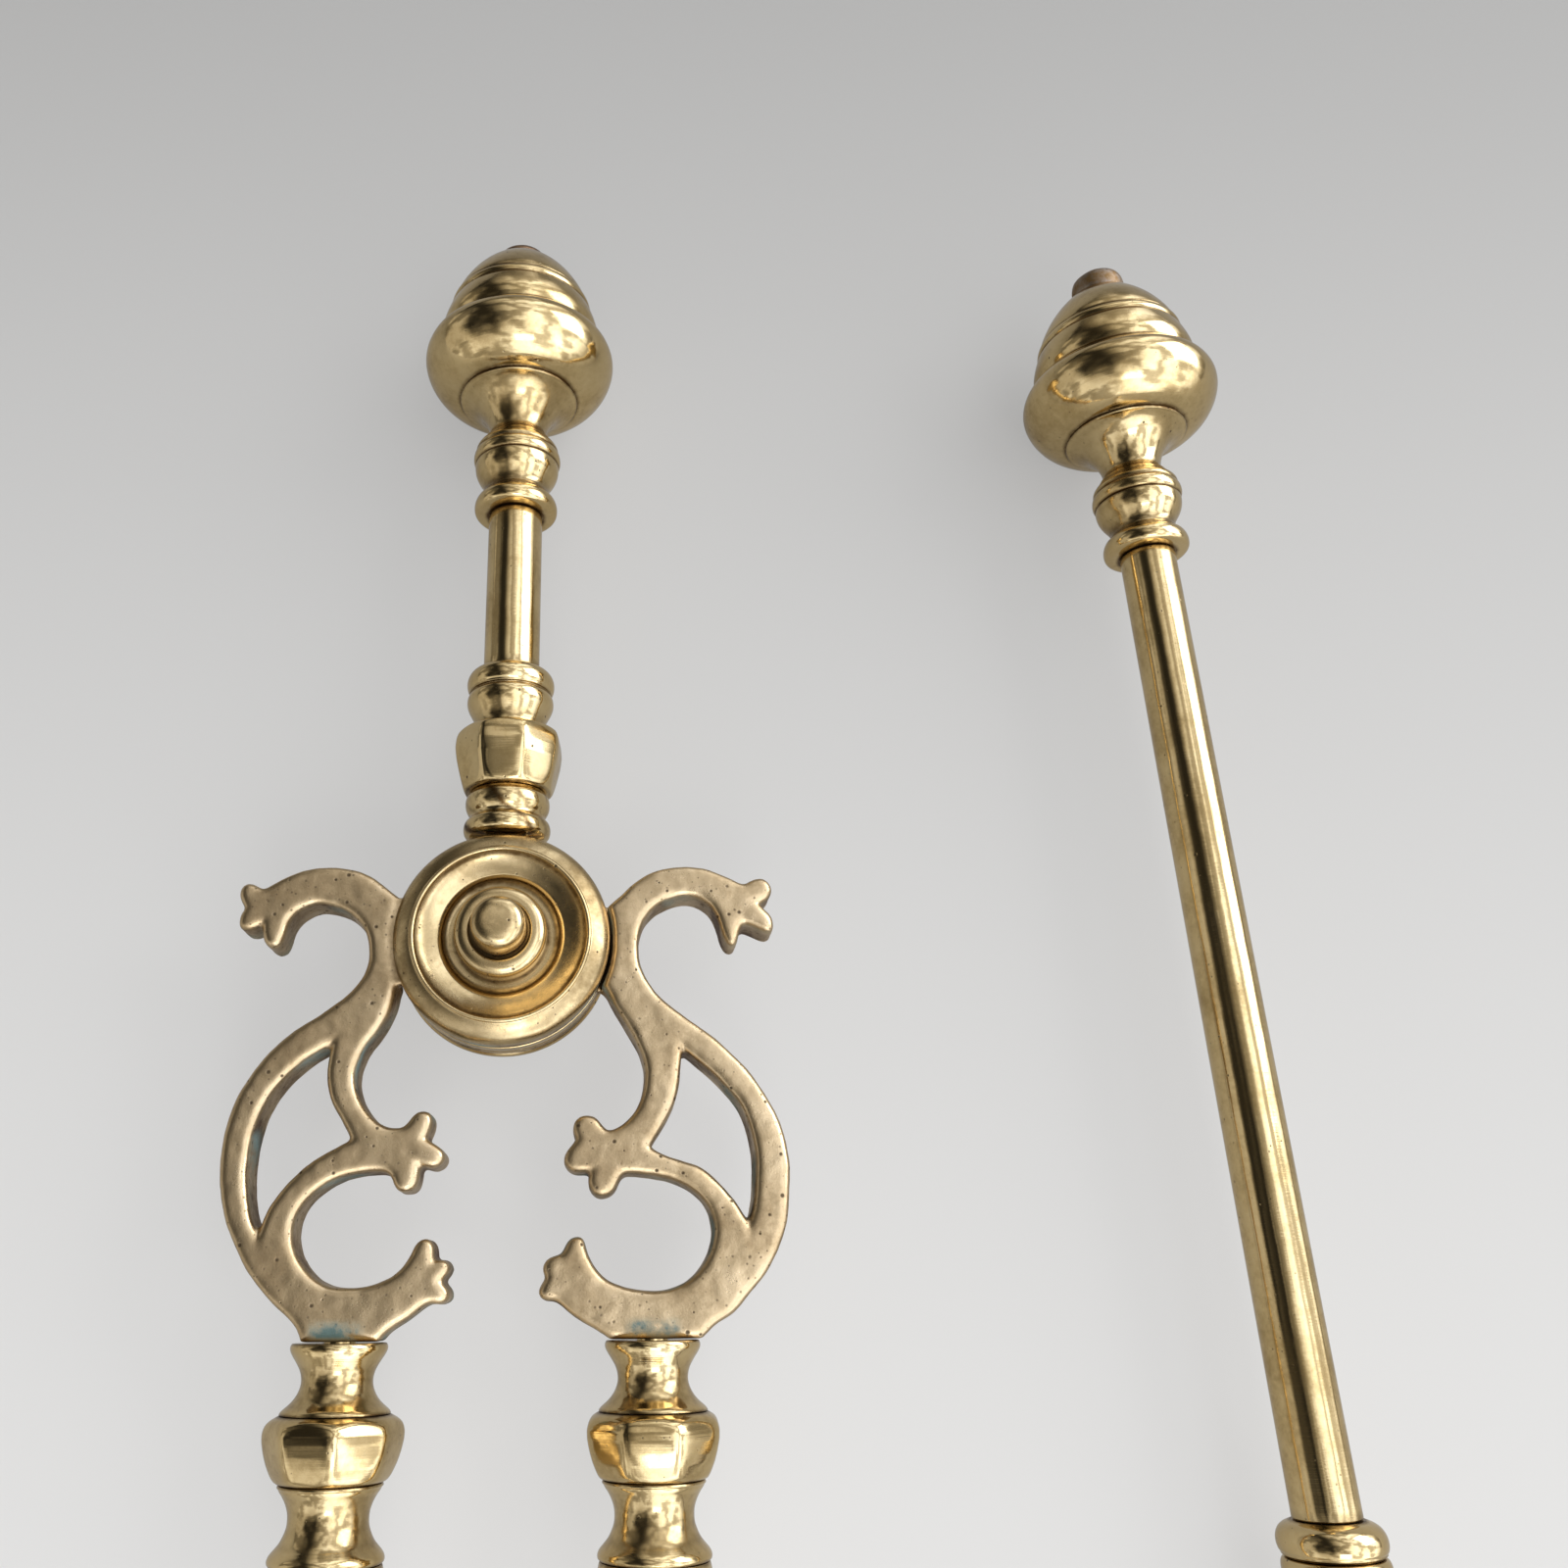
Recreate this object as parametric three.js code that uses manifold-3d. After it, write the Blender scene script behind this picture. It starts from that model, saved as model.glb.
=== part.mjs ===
// A pair of brass fire irons lying side by side on a flat surface: tongs with scrolled
// cast arms on a round pivot boss, and a long-handled poker with the same finial.
// Millimetres, +X right, +Y towards the finials, +Z up from the surface.
// The origin is the centre of the bounding box's base. Both tools are drawn about the
// height of the tongs' pivot (y = 0 in the profiles), then the whole group is centred.

import * as THREE from 'three';
import { mergeVertices } from 'three/addons/utils/BufferGeometryUtils.js';
import Module from 'manifold-3d';

const wasm = await Module();
wasm.setup();

// ---- driving dimensions -------------------------------------------------------------
const BULB_R = 20.2;            // widest radius of the finial, also the axis height at rest
const BULB_H = 128.8;           // where that widest ring lies, above the pivot
const ROD_R = 5.5;              // plain handle tube and leg rod
const CORE_R = 2.6;             // iron rod that ties the turned pieces together
const BORE_R = 2.9;             // bore for that rod
const PIN_R = 3.98;             // pivot pin
const EYE_BORE_R = 4.13;        // running bore on the pin
const BOSS_R = 19.5;            // pivot boss
const EYE_R = 19.3;             // eyes and centre plate inside the boss
const CLEAR_R = 19.9;           // full-thickness arm starts outside this radius
const ARM_HALF = 4.5;           // half the thickness of a cast arm
const EYE_Z = [1.8, 4.3];       // layer of the left eye; the right one is its mirror
const PLATE_HALF = 1.5;         // centre plate of the handle, half thickness
const LEG_X = [-25.3, 26.6];    // leg axes either side of the pivot
const FOOT_Y = -67.4;           // underside of the arm's foot
const LEG_ROD_TOP = -113.5;     // shoulder of the leg rod under the last knop
const PAD_Y = -479.8;           // centre of the grip pads
const PAD_R = 20.2;             // grip pad radius
const PAD_GAP = 0.4;            // half the gap between the closed pads
const CRANK_R = 14;             // bend radius at the lower end of a leg
const POKER_AT = [130.9, 111.8];// where the poker's finial seat lies, x and y
const POKER_SEAT = 119.55;      // profile height of that seat
const POKER_LEAN = 0.0352;      // x drift per unit of length, finial end towards the tongs
const POKER_CONTACT = -470;     // profile height where the shaft's tip meets the surface
const SHAFT_R = 5;              // poker shaft
const SEG = 12;

// ---- materials ----------------------------------------------------------------------
const metal = (name, color, roughness) => {
  const m = new THREE.MeshStandardMaterial({ color, roughness, metalness: 1 });
  m.name = name;
  return m;
};
const BRASS = metal('polished_brass', 0xc2a25c, 0.2);
const CAST = metal('cast_brass', 0xb49c6a, 0.42);
const IRON = metal('iron_core', 0x5b4531, 0.5);
const STEEL = metal('steel_shaft', 0x8b8880, 0.35);

// ---- solids -------------------------------------------------------------------------
function meshOf(pos, tri) {
  let v = 0;
  const P = (i) => pos.slice(3 * i, 3 * i + 3);
  for (let i = 0; i < tri.length; i += 3) {
    const [a, b, c] = [P(tri[i]), P(tri[i + 1]), P(tri[i + 2])];
    v += a[0] * (b[1] * c[2] - b[2] * c[1]) - a[1] * (b[0] * c[2] - b[2] * c[0])
      + a[2] * (b[0] * c[1] - b[1] * c[0]);
  }
  if (v < 0) for (let i = 0; i < tri.length; i += 3) [tri[i], tri[i + 1]] = [tri[i + 1], tri[i]];
  const g = new THREE.BufferGeometry();
  g.setAttribute('position', new THREE.Float32BufferAttribute(pos, 3));
  g.setIndex(tri);
  return g;
}

// Rings of points joined into one closed body. ends: 'caps' closes the first and last
// ring with a point, 'loop' joins the last ring back to the first.
function skin(rings, ends) {
  const pos = [], tri = [], n = rings[0].length;
  rings.forEach((r) => r.forEach((p) => pos.push(...p)));
  const quads = (a, b) => {
    for (let i = 0; i < n; i++) {
      const j = (i + 1) % n;
      tri.push(a + i, b + i, b + j, a + i, b + j, a + j);
    }
  };
  for (let k = 0; k + 1 < rings.length; k++) quads(k * n, (k + 1) * n);
  if (ends === 'loop') quads((rings.length - 1) * n, 0);
  else {
    for (const [k, flip] of [[0, false], [rings.length - 1, true]]) {
      const c = [0, 1, 2].map((a) => rings[k].reduce((s, p) => s + p[a], 0) / n);
      const at = pos.length / 3;
      pos.push(...c);
      for (let i = 0; i < n; i++) {
        const j = (i + 1) % n;
        if (flip) tri.push(at, k * n + j, k * n + i);
        else tri.push(at, k * n + i, k * n + j);
      }
    }
  }
  return meshOf(pos, tri);
}

const PLACE = {
  x: (r, h, a) => [h, r * Math.cos(a), r * Math.sin(a)],
  y: (r, h, a) => [r * Math.cos(a), h, r * Math.sin(a)],
  z: (r, h, a) => [r * Math.cos(a), r * Math.sin(a), h],
};
const turns = (n) => Array.from({ length: n }, (_, i) => (2 * Math.PI * i) / n);

// A turned piece from [radius, height] pairs; bore > 0 drills it right through.
function turned(profile, { bore = 0, axis = 'y', seg = SEG } = {}) {
  const ring = ([r, h]) => turns(seg).map((a) => PLACE[axis](r, h, a));
  const rings = profile.map(ring);
  if (!bore) return skin(rings, 'caps');
  rings.push(ring([bore, profile.at(-1)[1]]), ring([bore, profile[0][1]]));
  return skin(rings, 'loop');
}

// An eight-sided knop: each ring is [flat radius, corner cap, height]; a flat of 0 is round.
function octagonal(rings, face, bore) {
  const seg = 16;
  const out = rings.map(([flat, cap, h]) => turns(seg).map((a) => {
    const d = ((((a - face) % (Math.PI / 4)) + Math.PI / 4 + Math.PI / 8) % (Math.PI / 4)) - Math.PI / 8;
    return PLACE.y(flat ? Math.min(flat / Math.cos(d), cap) : cap, h, a);
  }));
  for (const h of [rings.at(-1)[2], rings[0][2]]) out.push(turns(seg).map((a) => PLACE.y(bore, h, a)));
  return skin(out, 'loop');
}

function solid(g) {
  const m = g.clone();
  for (const k of Object.keys(m.attributes)) if (k !== 'position') m.deleteAttribute(k);
  const w = mergeVertices(m, 1e-4);
  return new wasm.Manifold(new wasm.Mesh({
    numProp: 3,
    vertProperties: new Float32Array(w.attributes.position.array),
    triVerts: new Uint32Array(w.index.array),
  }));
}

function fromSolid(m) {
  const k = m.getMesh();
  const g = new THREE.BufferGeometry();
  g.setAttribute('position', new THREE.BufferAttribute(new Float32Array(k.vertProperties), 3));
  g.setIndex(new THREE.BufferAttribute(new Uint32Array(k.triVerts), 1));
  return g;
}

function plate(outline, z0, z1) {
  const shape = new THREE.Shape(outline.map(([x, y]) => new THREE.Vector2(x, y)));
  const g = new THREE.ExtrudeGeometry(shape, { depth: z1 - z0, bevelEnabled: false, steps: 1 });
  g.translate(0, 0, z0);
  return g;
}

// ---- outlines of the two castings, pivot at the origin; each run ends in a notch -------
const LEFT_RIM = [
  [[-19.1, 8], [-21.6, 10.05], [-23.9, 11.75], [-26.9, 13.1], [-30.4, 13.8], [-33.9, 13.8], [-37.2, 13.1],
   [-40.1, 11.9], [-42.2, 10.7], [-43.9, 9.8], [-44.8, 10.1], [-45.8, 10.6], [-47, 10.6], [-47.9, 9.8],
   [-48.1, 8.6], [-47.7, 7.2], [-47, 6]],
  [[-47, 6], [-47.6, 4.9], [-47.8, 3.6], [-47.5, 2.5], [-46.6, 2], [-45.4, 2], [-43.5, 2.9]],
  [[-43.5, 2.9], [-43.4, 1.8], [-43.2, 0.5], [-42.5, -0.7], [-41.4, -1.3], [-40.4, -1.1], [-39.7, -0.3],
   [-39.2, 1.2], [-38.8, 3], [-37.9, 4.6], [-36.3, 5.9], [-33.9, 6.7], [-31.3, 6.4], [-28.6, 5.4],
   [-26.3, 3.6], [-24.7, 1.2], [-24.1, -1.4], [-24.1, -4.1], [-24.9, -6.7], [-26.6, -9.1], [-29.2, -11.5],
   [-32.2, -13.7], [-35.1, -15.6], [-38, -17.8], [-40.6, -20.4], [-42.9, -23.6], [-45, -27.4], [-46.3, -31.4],
   [-46.9, -35.5], [-47, -39.6], [-46.5, -43.8], [-45.2, -48.3], [-43.4, -52.2], [-41.1, -56], [-38.4, -59.3],
   [-35.8, -61.8], [-33.3, -63.9], [-31.9, -65.5], [-31.1, -67.4]],
  [[-31.1, -67.4], [-18.4, -67.4]],
  [[-18.4, -67.4], [-17.2, -66.1], [-15.7, -65.1], [-13.6, -63.8], [-11.9, -62.5], [-10.4, -61.7],
   [-8.6, -61.8], [-7.4, -61.3], [-7, -60.5], [-7.2, -59.5], [-7.8, -58.8], [-8.5, -58.1]],
  [[-8.5, -58.1], [-7.6, -57.3], [-7.1, -56.2], [-7.6, -55.1], [-8.6, -54.7], [-9.9, -54.9]],
  [[-9.9, -54.9], [-9.8, -53.6], [-10, -52.5], [-10.7, -51.6], [-11.5, -51.4], [-12.5, -51.7], [-13.3, -52.7],
   [-14.1, -54.4], [-15.4, -56.2], [-17.5, -57.7], [-20.4, -58.7], [-23.9, -59.1], [-26.9, -58.8],
   [-29.2, -57.8], [-31.3, -55.9], [-32.9, -53.5], [-33.6, -50.8], [-33.4, -48.2], [-32.3, -45.8],
   [-30.4, -43.8], [-27.8, -42.1], [-24.5, -41], [-21.3, -40.6], [-19.2, -40.6], [-18.2, -41], [-17.6, -41.8],
   [-17.2, -42.8], [-16.5, -43.6], [-15.4, -43.9], [-14.3, -43.7], [-13.4, -42.9], [-13.1, -41.7],
   [-13, -40.5], [-13.1, -39.4]],
  [[-13.1, -39.4], [-12, -39.8], [-10.7, -40], [-9.6, -39.6], [-8.9, -38.8], [-8.8, -37.8], [-9.3, -36.9],
   [-10.4, -36.1], [-12.2, -35.1]],
  [[-12.2, -35.1], [-11.6, -34], [-11.2, -32.7], [-11.2, -31.6], [-11.7, -30.7], [-12.7, -30.3],
   [-13.7, -30.4], [-14.6, -31.1], [-15.4, -32.2], [-16.2, -33], [-17.3, -33.2], [-18.8, -33], [-20.6, -32.2],
   [-22.5, -30.4], [-23.9, -28.3], [-24.8, -25.6], [-24.8, -23.2], [-24.1, -20.8], [-23.1, -18.8],
   [-21.6, -16.8], [-20.3, -14.6], [-19.3, -12.2], [-18.75, -9.5]],
];
const RIGHT_RIM = [
  [[18.9, 6.2], [21.3, 8.2], [23.6, 10.5], [26.9, 12.7], [30.3, 13.7], [33.6, 13.95], [36.9, 13.6],
   [39.5, 12.7], [41.9, 11.7], [43.3, 10.9], [44.5, 10.6], [45.6, 11.2], [46.9, 11.6], [48.2, 11.4],
   [49.1, 10.5], [49.4, 9.3], [48.9, 8], [48, 7.2], [47, 6.8]],
  [[47, 6.8], [48.1, 5.6], [49.1, 4.5], [49.5, 3.2], [49.4, 2], [48.8, 1.3], [47.8, 1.35], [46.6, 1.9],
   [45.3, 2.5], [44, 2.9]],
  [[44, 2.9], [43.4, 2], [43, 0.6], [42.6, -0.6], [41.9, -1.25], [40.9, -0.8], [40.1, 0.6], [39.6, 2.4],
   [39, 4.3], [38, 6.1], [36.5, 7.4], [34.8, 8.1], [33.1, 8.2], [30.6, 7.6], [28.2, 6.4], [26.4, 4.5],
   [25.2, 2.1], [24.7, -0.8], [24.9, -3.8], [25.8, -6.4], [27.4, -9.1], [29.5, -11.4], [32.7, -13.9],
   [35.7, -16], [38.6, -18.3], [41.7, -21.2], [44.6, -24.5], [47.1, -28.4], [49, -32.2], [50.1, -36.1],
   [50.5, -40.2], [50.2, -44.3], [49.6, -49.2], [48.2, -53], [46, -56.9], [43, -60.4], [40, -63.5],
   [37, -65.3], [34.7, -67.4]],
  [[34.7, -67.4], [19.5, -67.4]],
  [[19.5, -67.4], [17.4, -66], [15.1, -64.8], [13, -63.4], [11.3, -62], [10.1, -61.4], [8.8, -61.3],
   [7.9, -60.7], [7.6, -59.9], [8, -58.9], [8.7, -57.8]],
  [[8.7, -57.8], [8.2, -56.7], [8.4, -55.6], [9.1, -54.75], [10.3, -54.3], [11.4, -54]],
  [[11.4, -54], [11.9, -52.9], [12.5, -51.9], [13.3, -51.4], [14.3, -51.3], [15, -51.7], [15.4, -52.9],
   [16.1, -54.7], [17.4, -56.7], [19.5, -58.4], [22.7, -59.5], [26.6, -60], [29.8, -59.6], [32.7, -58.3],
   [34.8, -56.3], [36.2, -54], [37, -51.4], [36.9, -49], [36.1, -46.6], [34.2, -44.4], [31.6, -42.8],
   [28.6, -41.8], [25.4, -41.3], [22.9, -41.1], [21.8, -41.3], [21.1, -42.3], [20.4, -43.7], [19.4, -44.6],
   [18, -44.9], [16.8, -44.5], [16, -43.4], [15.8, -42], [16.2, -40.8]],
  [[16.2, -40.8], [15, -40.8], [13.6, -40.8], [12.5, -40.4], [11.7, -39.5], [11.5, -38.5], [11.9, -37.4],
   [12.8, -36.3], [13.6, -35.2]],
  [[13.6, -35.2], [13.1, -34.2], [13.1, -33], [13.6, -32], [14.4, -31.4], [15.5, -31.2], [16.6, -31.4],
   [17.6, -32.1], [18.4, -33.2], [19.3, -33.8], [20.9, -33.3], [22.7, -31.9], [24.2, -29.9], [25.2, -27.3],
   [25.6, -24.6], [25.4, -22.4], [24.7, -20], [23.3, -17.2], [21.6, -14.3], [20, -11.7], [18.9, -9.6]],
];
const LEFT_OPENING = [
  [[-29.5, -19], [-33.2, -21.2], [-36.3, -23.8], [-38.6, -26.6], [-40.4, -29.8], [-41.6, -33.8],
   [-42.1, -37.9], [-42, -42], [-41.4, -45.8], [-40.6, -48.4], [-39.5, -50.4]],
  [[-39.5, -50.4], [-38.4, -46.9], [-37.2, -44.8], [-35.6, -42.6], [-33.4, -40.3], [-30.7, -38.3],
   [-27.8, -36.6], [-25, -35.2]],
  [[-25, -35.2], [-27, -31.7], [-28.7, -28.9], [-29.7, -25.8], [-29.9, -22.6], [-29.5, -19]],
];
const RIGHT_OPENING = [
  [[32.3, -19.8], [36, -22.9], [39.4, -26.2], [42.3, -29.8], [43.8, -33.8], [44.5, -37.9], [44.4, -42],
   [44, -45.8], [43.1, -49.4]],
  [[43.1, -49.4], [41.5, -46.7], [39.8, -44.4], [37.7, -42.1], [35.1, -40.1], [32.1, -39], [28.9, -38],
   [26.5, -36.7]],
  [[26.5, -36.7], [27.6, -34.9], [29.3, -32.3], [30.8, -29.1], [31.7, -25.8], [32, -22.6], [32.3, -19.8]],
];
const TAB = [[-21.5, 7.5], [-14, 10], [-12, 0], [-14, -10], [-21.3, -8]];

function curve(points, perMm) {
  if (points.length === 2) return [points[0]];
  const c = new THREE.CatmullRomCurve3(points.map(([x, y]) => new THREE.Vector3(x, y, 0)), false, 'centripetal');
  const n = Math.max(4, Math.round(c.getLength() * perMm));
  return c.getPoints(n).slice(0, -1).map((p) => [p.x, p.y]);
}
const outlineOf = (parts, perMm) => parts.flatMap((s) => curve(s, perMm));

function arm(side) {
  const [rim, opening] = side < 0 ? [LEFT_RIM, LEFT_OPENING] : [RIGHT_RIM, RIGHT_OPENING];
  const body = solid(plate(outlineOf(rim, 0.5), -ARM_HALF, ARM_HALF));
  const crescent = solid(plate(outlineOf(opening, 0.35), -10, 10));
  const clear = solid(turned([[CLEAR_R, -10], [CLEAR_R, 10]], { axis: 'z', seg: 64 }));
  const [z0, z1] = side < 0 ? EYE_Z : [-EYE_Z[1], -EYE_Z[0]];
  const eye = solid(turned([[EYE_R, z0], [EYE_R, z1]], { axis: 'z', seg: 40 }));
  const tab = solid(plate(TAB.map(([x, y]) => [side < 0 ? x : -x, y]), z0, z1));
  const bore = solid(turned([[EYE_BORE_R, -10], [EYE_BORE_R, 10]], { axis: 'z', seg: 24 }));
  const at = side < 0 ? LEG_X[0] : LEG_X[1];
  const socket = turned([[BORE_R, FOOT_Y - 3], [BORE_R, FOOT_Y + 6]], { seg: 16 });
  socket.translate(at, 0, 0);
  return fromSolid(body.subtract(crescent).subtract(clear).add(eye).add(tab).subtract(bore).subtract(solid(socket)));
}

// ---- turned profiles, [radius, height above the pivot] --------------------------------
const BULB = [
  [12.5, 119.65], [15.6, 121.0], [18.6, 124.0], [BULB_R, BULB_H], [19.3, 131.8], [17.0, 133.9], [16.3, 134.5],
  [16.8, 137.2], [15.4, 141.8], [14.9, 144.2], [12.7, 148.8], [9.4, 153.0], [6.2, 156.0],
];
const NECK = [
  [5.8, 90.9], [8.2, 91.3], [8.5, 93.3], [7.7, 95.3], [6.5, 96.8], [8.4, 100.4], [8.6, 102.9], [9.05, 104.4],
  [8.5, 105.85], [8.6, 106.8], [6.1, 109.7], [6.4, 113.2], [9.0, 117.2], [12.4, 119.1], [12.4, 119.55],
];
const TUBE = [[ROD_R, 55.4], [ROD_R, 90.8]];
const RING = [[7.7, 49.9], [8.55, 51.8], [7.7, 54.4], [5.9, 55.3]];
const VASE = [[6.9, 42.4], [6.9, 44.2], [8.35, 47.4], [8.1, 49.4], [7.8, 49.8]];
const OCTAGON = [
  [0, 7.7, 29.4], [8.5, 8.8, 30.6], [9.8, 10.3, 35.6], [10.0, 10.6, 38.0], [9.1, 9.5, 41.1], [0, 7.2, 42.3],
];
const BOSS_NECK = [
  [7.3, 20.3], [8.2, 21.8], [7.7, 23.8], [7.1, 24.9], [7.9, 26.9], [7.9, 28.2], [7.2, 29.3],
];
const BUTTON = [[5.3, 156.1], [5.5, 157.0], [4.3, 160.7], [0.8, 161.8]];
const LOW_BUTTON = [[5.3, 156.1], [5.5, 156.9], [4.3, 158.4], [0.8, 159.3]];  // hammered flatter
const SOCKET = [[9.0, -78.3], [6.9, -76.2], [5.8, -73.6], [6.6, -70.9], [7.9, -68.5], [7.8, -67.6]];
const LEG_OCTAGON = [
  [0, 8.4, -88.3], [9.3, 9.7, -87.2], [10.5, 11.1, -84.0], [10.8, 11.4, -80.9], [10.2, 10.6, -79.3], [0, 9.0, -78.4],
];
const LEG_VASE = [[9.0, -99.8], [9.1, -99.1], [7.1, -96.3], [6.35, -93.6], [7.0, -91.0], [8.4, -89.0], [8.2, -88.4]];
const LEG_KNOP = [
  [5.9, -113.4], [7.4, -112.0], [6.2, -109.2], [7.9, -106.5], [9.2, -102.6], [8.8, -99.9],
];
const PAD = [
  [19.2, 0], [PAD_R, 1.3], [PAD_R, 3.1], [18.6, 4.4], [10.0, 4.8], [8.2, 6.8], [6.0, 8.9],
];
const FRONT_CAP = [
  [19.0, 4.6], [BOSS_R, 5.0], [BOSS_R, 6.0], [17.7, 8.3], [15.3, 9.5], [14.6, 9.0], [10.8, 7.1], [9.4, 6.0], [8.4, 6.0],
];
const REAR_CAP = [[19.0, -4.6], [BOSS_R, -5.0], [BOSS_R, -6.0], [17.0, -8.2], [8.4, -9.4]];
const COLLAR = [[7.8, 6.1], [7.9, 10.0], [6.9, 11.35], [5.2, 11.4]];
const PIN = [[6.0, -12.8], [7.0, -12.0], [7.0, -9.5], [PIN_R, -9.5], [PIN_R, 16.9], [3.3, 17.65]];

// ---- assembly -----------------------------------------------------------------------
const irons = new THREE.Group();
irons.name = 'fire_irons';
function put(parent, name, geometry, material) {
  const m = new THREE.Mesh(geometry, material);
  m.name = name;
  parent.add(m);
  return m;
}
const lowered = (profile, by) => profile.map((p) => [...p.slice(0, -1), p.at(-1) - by]);

function tongsHandle(parent) {
  put(parent, 'tongs_tang', turned([[CORE_R, 23.4], [CORE_R, 156.1], ...LOW_BUTTON], { seg: 12 }), IRON);
  put(parent, 'tongs_finial_bulb', turned(BULB, { bore: BORE_R, seg: 16 }), BRASS);
  put(parent, 'tongs_finial_neck', turned(NECK, { bore: BORE_R }), BRASS);
  put(parent, 'tongs_handle_tube', turned(TUBE, { bore: BORE_R }), BRASS);
  put(parent, 'tongs_handle_ring', turned(RING, { bore: BORE_R }), BRASS);
  put(parent, 'tongs_handle_vase', turned(VASE, { bore: BORE_R }), BRASS);
  put(parent, 'tongs_handle_octagon', octagonal(OCTAGON, 1.63, BORE_R), BRASS);
  const neck = solid(turned(BOSS_NECK, {}));
  const tongue = solid(plate([[-6, 17], [6, 17], [6, 21.5], [-6, 21.5]], -PLATE_HALF, PLATE_HALF));
  const disc = solid(turned([[EYE_R, -PLATE_HALF], [EYE_R, PLATE_HALF]], { axis: 'z', seg: 40 }));
  const bore = solid(turned([[EYE_BORE_R, -10], [EYE_BORE_R, 10]], { axis: 'z', seg: 24 }));
  const drill = solid(turned([[BORE_R, 23.0], [BORE_R, 32]], { seg: 16 }));
  put(parent, 'tongs_boss_neck', fromSolid(neck.add(tongue).add(disc).subtract(bore).subtract(drill)), BRASS);
  put(parent, 'boss_front_cap', turned(FRONT_CAP, { bore: EYE_BORE_R, axis: 'z', seg: 32 }), BRASS);
  put(parent, 'boss_rear_cap', turned(REAR_CAP, { bore: EYE_BORE_R, axis: 'z', seg: 32 }), BRASS);
  put(parent, 'pivot_collar', turned(COLLAR, { bore: EYE_BORE_R, axis: 'z', seg: 24 }), BRASS);
  put(parent, 'pivot_pin', turned(PIN, { axis: 'z', seg: 24 }), BRASS);
}

// Leg rod: a thin spigot up through the knops, the plain rod, the crank and the rivet end.
function legRod(side) {
  const x = side < 0 ? LEG_X[0] : LEG_X[1];
  const bendY = PAD_Y + CRANK_R;
  const path = [[x, FOOT_Y + 5.4, 0, CORE_R], [x, LEG_ROD_TOP, 0, CORE_R], [x, LEG_ROD_TOP, 0, ROD_R]];
  for (let k = 0; k <= 6; k++) {
    const a = (k * Math.PI) / 12;
    path.push([x - side * (CRANK_R - CRANK_R * Math.cos(a)), bendY - CRANK_R * Math.sin(a), a, ROD_R - 0.12 * k]);
  }
  const hub = side * (PAD_GAP + 9.0);
  path.push([hub, PAD_Y, Math.PI / 2, 4.7], [hub, PAD_Y, Math.PI / 2, CORE_R]);
  path.push([side * (PAD_GAP + 0.3), PAD_Y, Math.PI / 2, CORE_R]);
  return skin(path.map(([px, py, a, r]) => turns(12).map((t) => [
    px + r * Math.cos(t) * Math.cos(a), py - side * r * Math.cos(t) * Math.sin(a), r * Math.sin(t),
  ])), 'caps');
}

function leg(parent, side, face) {
  const name = side < 0 ? 'left' : 'right';
  const x = side < 0 ? LEG_X[0] : LEG_X[1];
  const at = (geometry) => geometry.translate(x, 0, 0);
  put(parent, `${name}_arm`, arm(side), CAST);
  put(parent, `${name}_socket_vase`, at(turned(SOCKET, { bore: BORE_R })), BRASS);
  put(parent, `${name}_leg_octagon`, at(octagonal(LEG_OCTAGON, face, BORE_R)), BRASS);
  put(parent, `${name}_leg_vase`, at(turned(LEG_VASE, { bore: BORE_R })), BRASS);
  put(parent, `${name}_leg_knop`, at(turned(LEG_KNOP, { bore: BORE_R })), BRASS);
  put(parent, `${name}_leg_rod`, legRod(side), BRASS);
  const pad = turned(PAD.map(([r, t]) => [r, side * (PAD_GAP + t)]), { bore: BORE_R, axis: 'x', seg: 24 });
  put(parent, `${name}_grip_pad`, pad.translate(0, PAD_Y, 0), BRASS);
}

function poker(parent) {
  const drop = 55.4 + 88.6;     // the handle's ring sits this much lower than on the tongs
  const shoulder = BOSS_NECK[0][1] - drop + 0.3;
  put(parent, 'poker_shaft', turned([
    [1.2, -499.0], [2.3, -497.4], [SHAFT_R, POKER_CONTACT], [SHAFT_R, shoulder - 0.1], [CORE_R, shoulder - 0.1],
    [CORE_R, 156.1], ...BUTTON,
  ], { seg: 12 }), STEEL);
  put(parent, 'poker_finial_bulb', turned(BULB, { bore: BORE_R, seg: 16 }), BRASS);
  put(parent, 'poker_finial_neck', turned(NECK, { bore: BORE_R }), BRASS);
  put(parent, 'poker_handle_tube', turned([[ROD_R, 55.4 - drop], [ROD_R, 90.8]], { bore: BORE_R }), BRASS);
  put(parent, 'poker_lower_ring', turned(lowered(RING, drop), { bore: BORE_R }), BRASS);
  put(parent, 'poker_lower_vase', turned(lowered(VASE, drop), { bore: BORE_R }), BRASS);
  put(parent, 'poker_lower_octagon', octagonal(lowered(OCTAGON, drop), 1.4, BORE_R), BRASS);
  put(parent, 'poker_lower_collar', turned(lowered(BOSS_NECK, drop - 0.3).slice(0, -1), { bore: BORE_R }), BRASS);
}

const tongs = new THREE.Group();
tongs.position.z = BULB_R;
tongsHandle(tongs);
leg(tongs, -1, 1.78);
leg(tongs, 1, 1.62);
irons.add(tongs);

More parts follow.
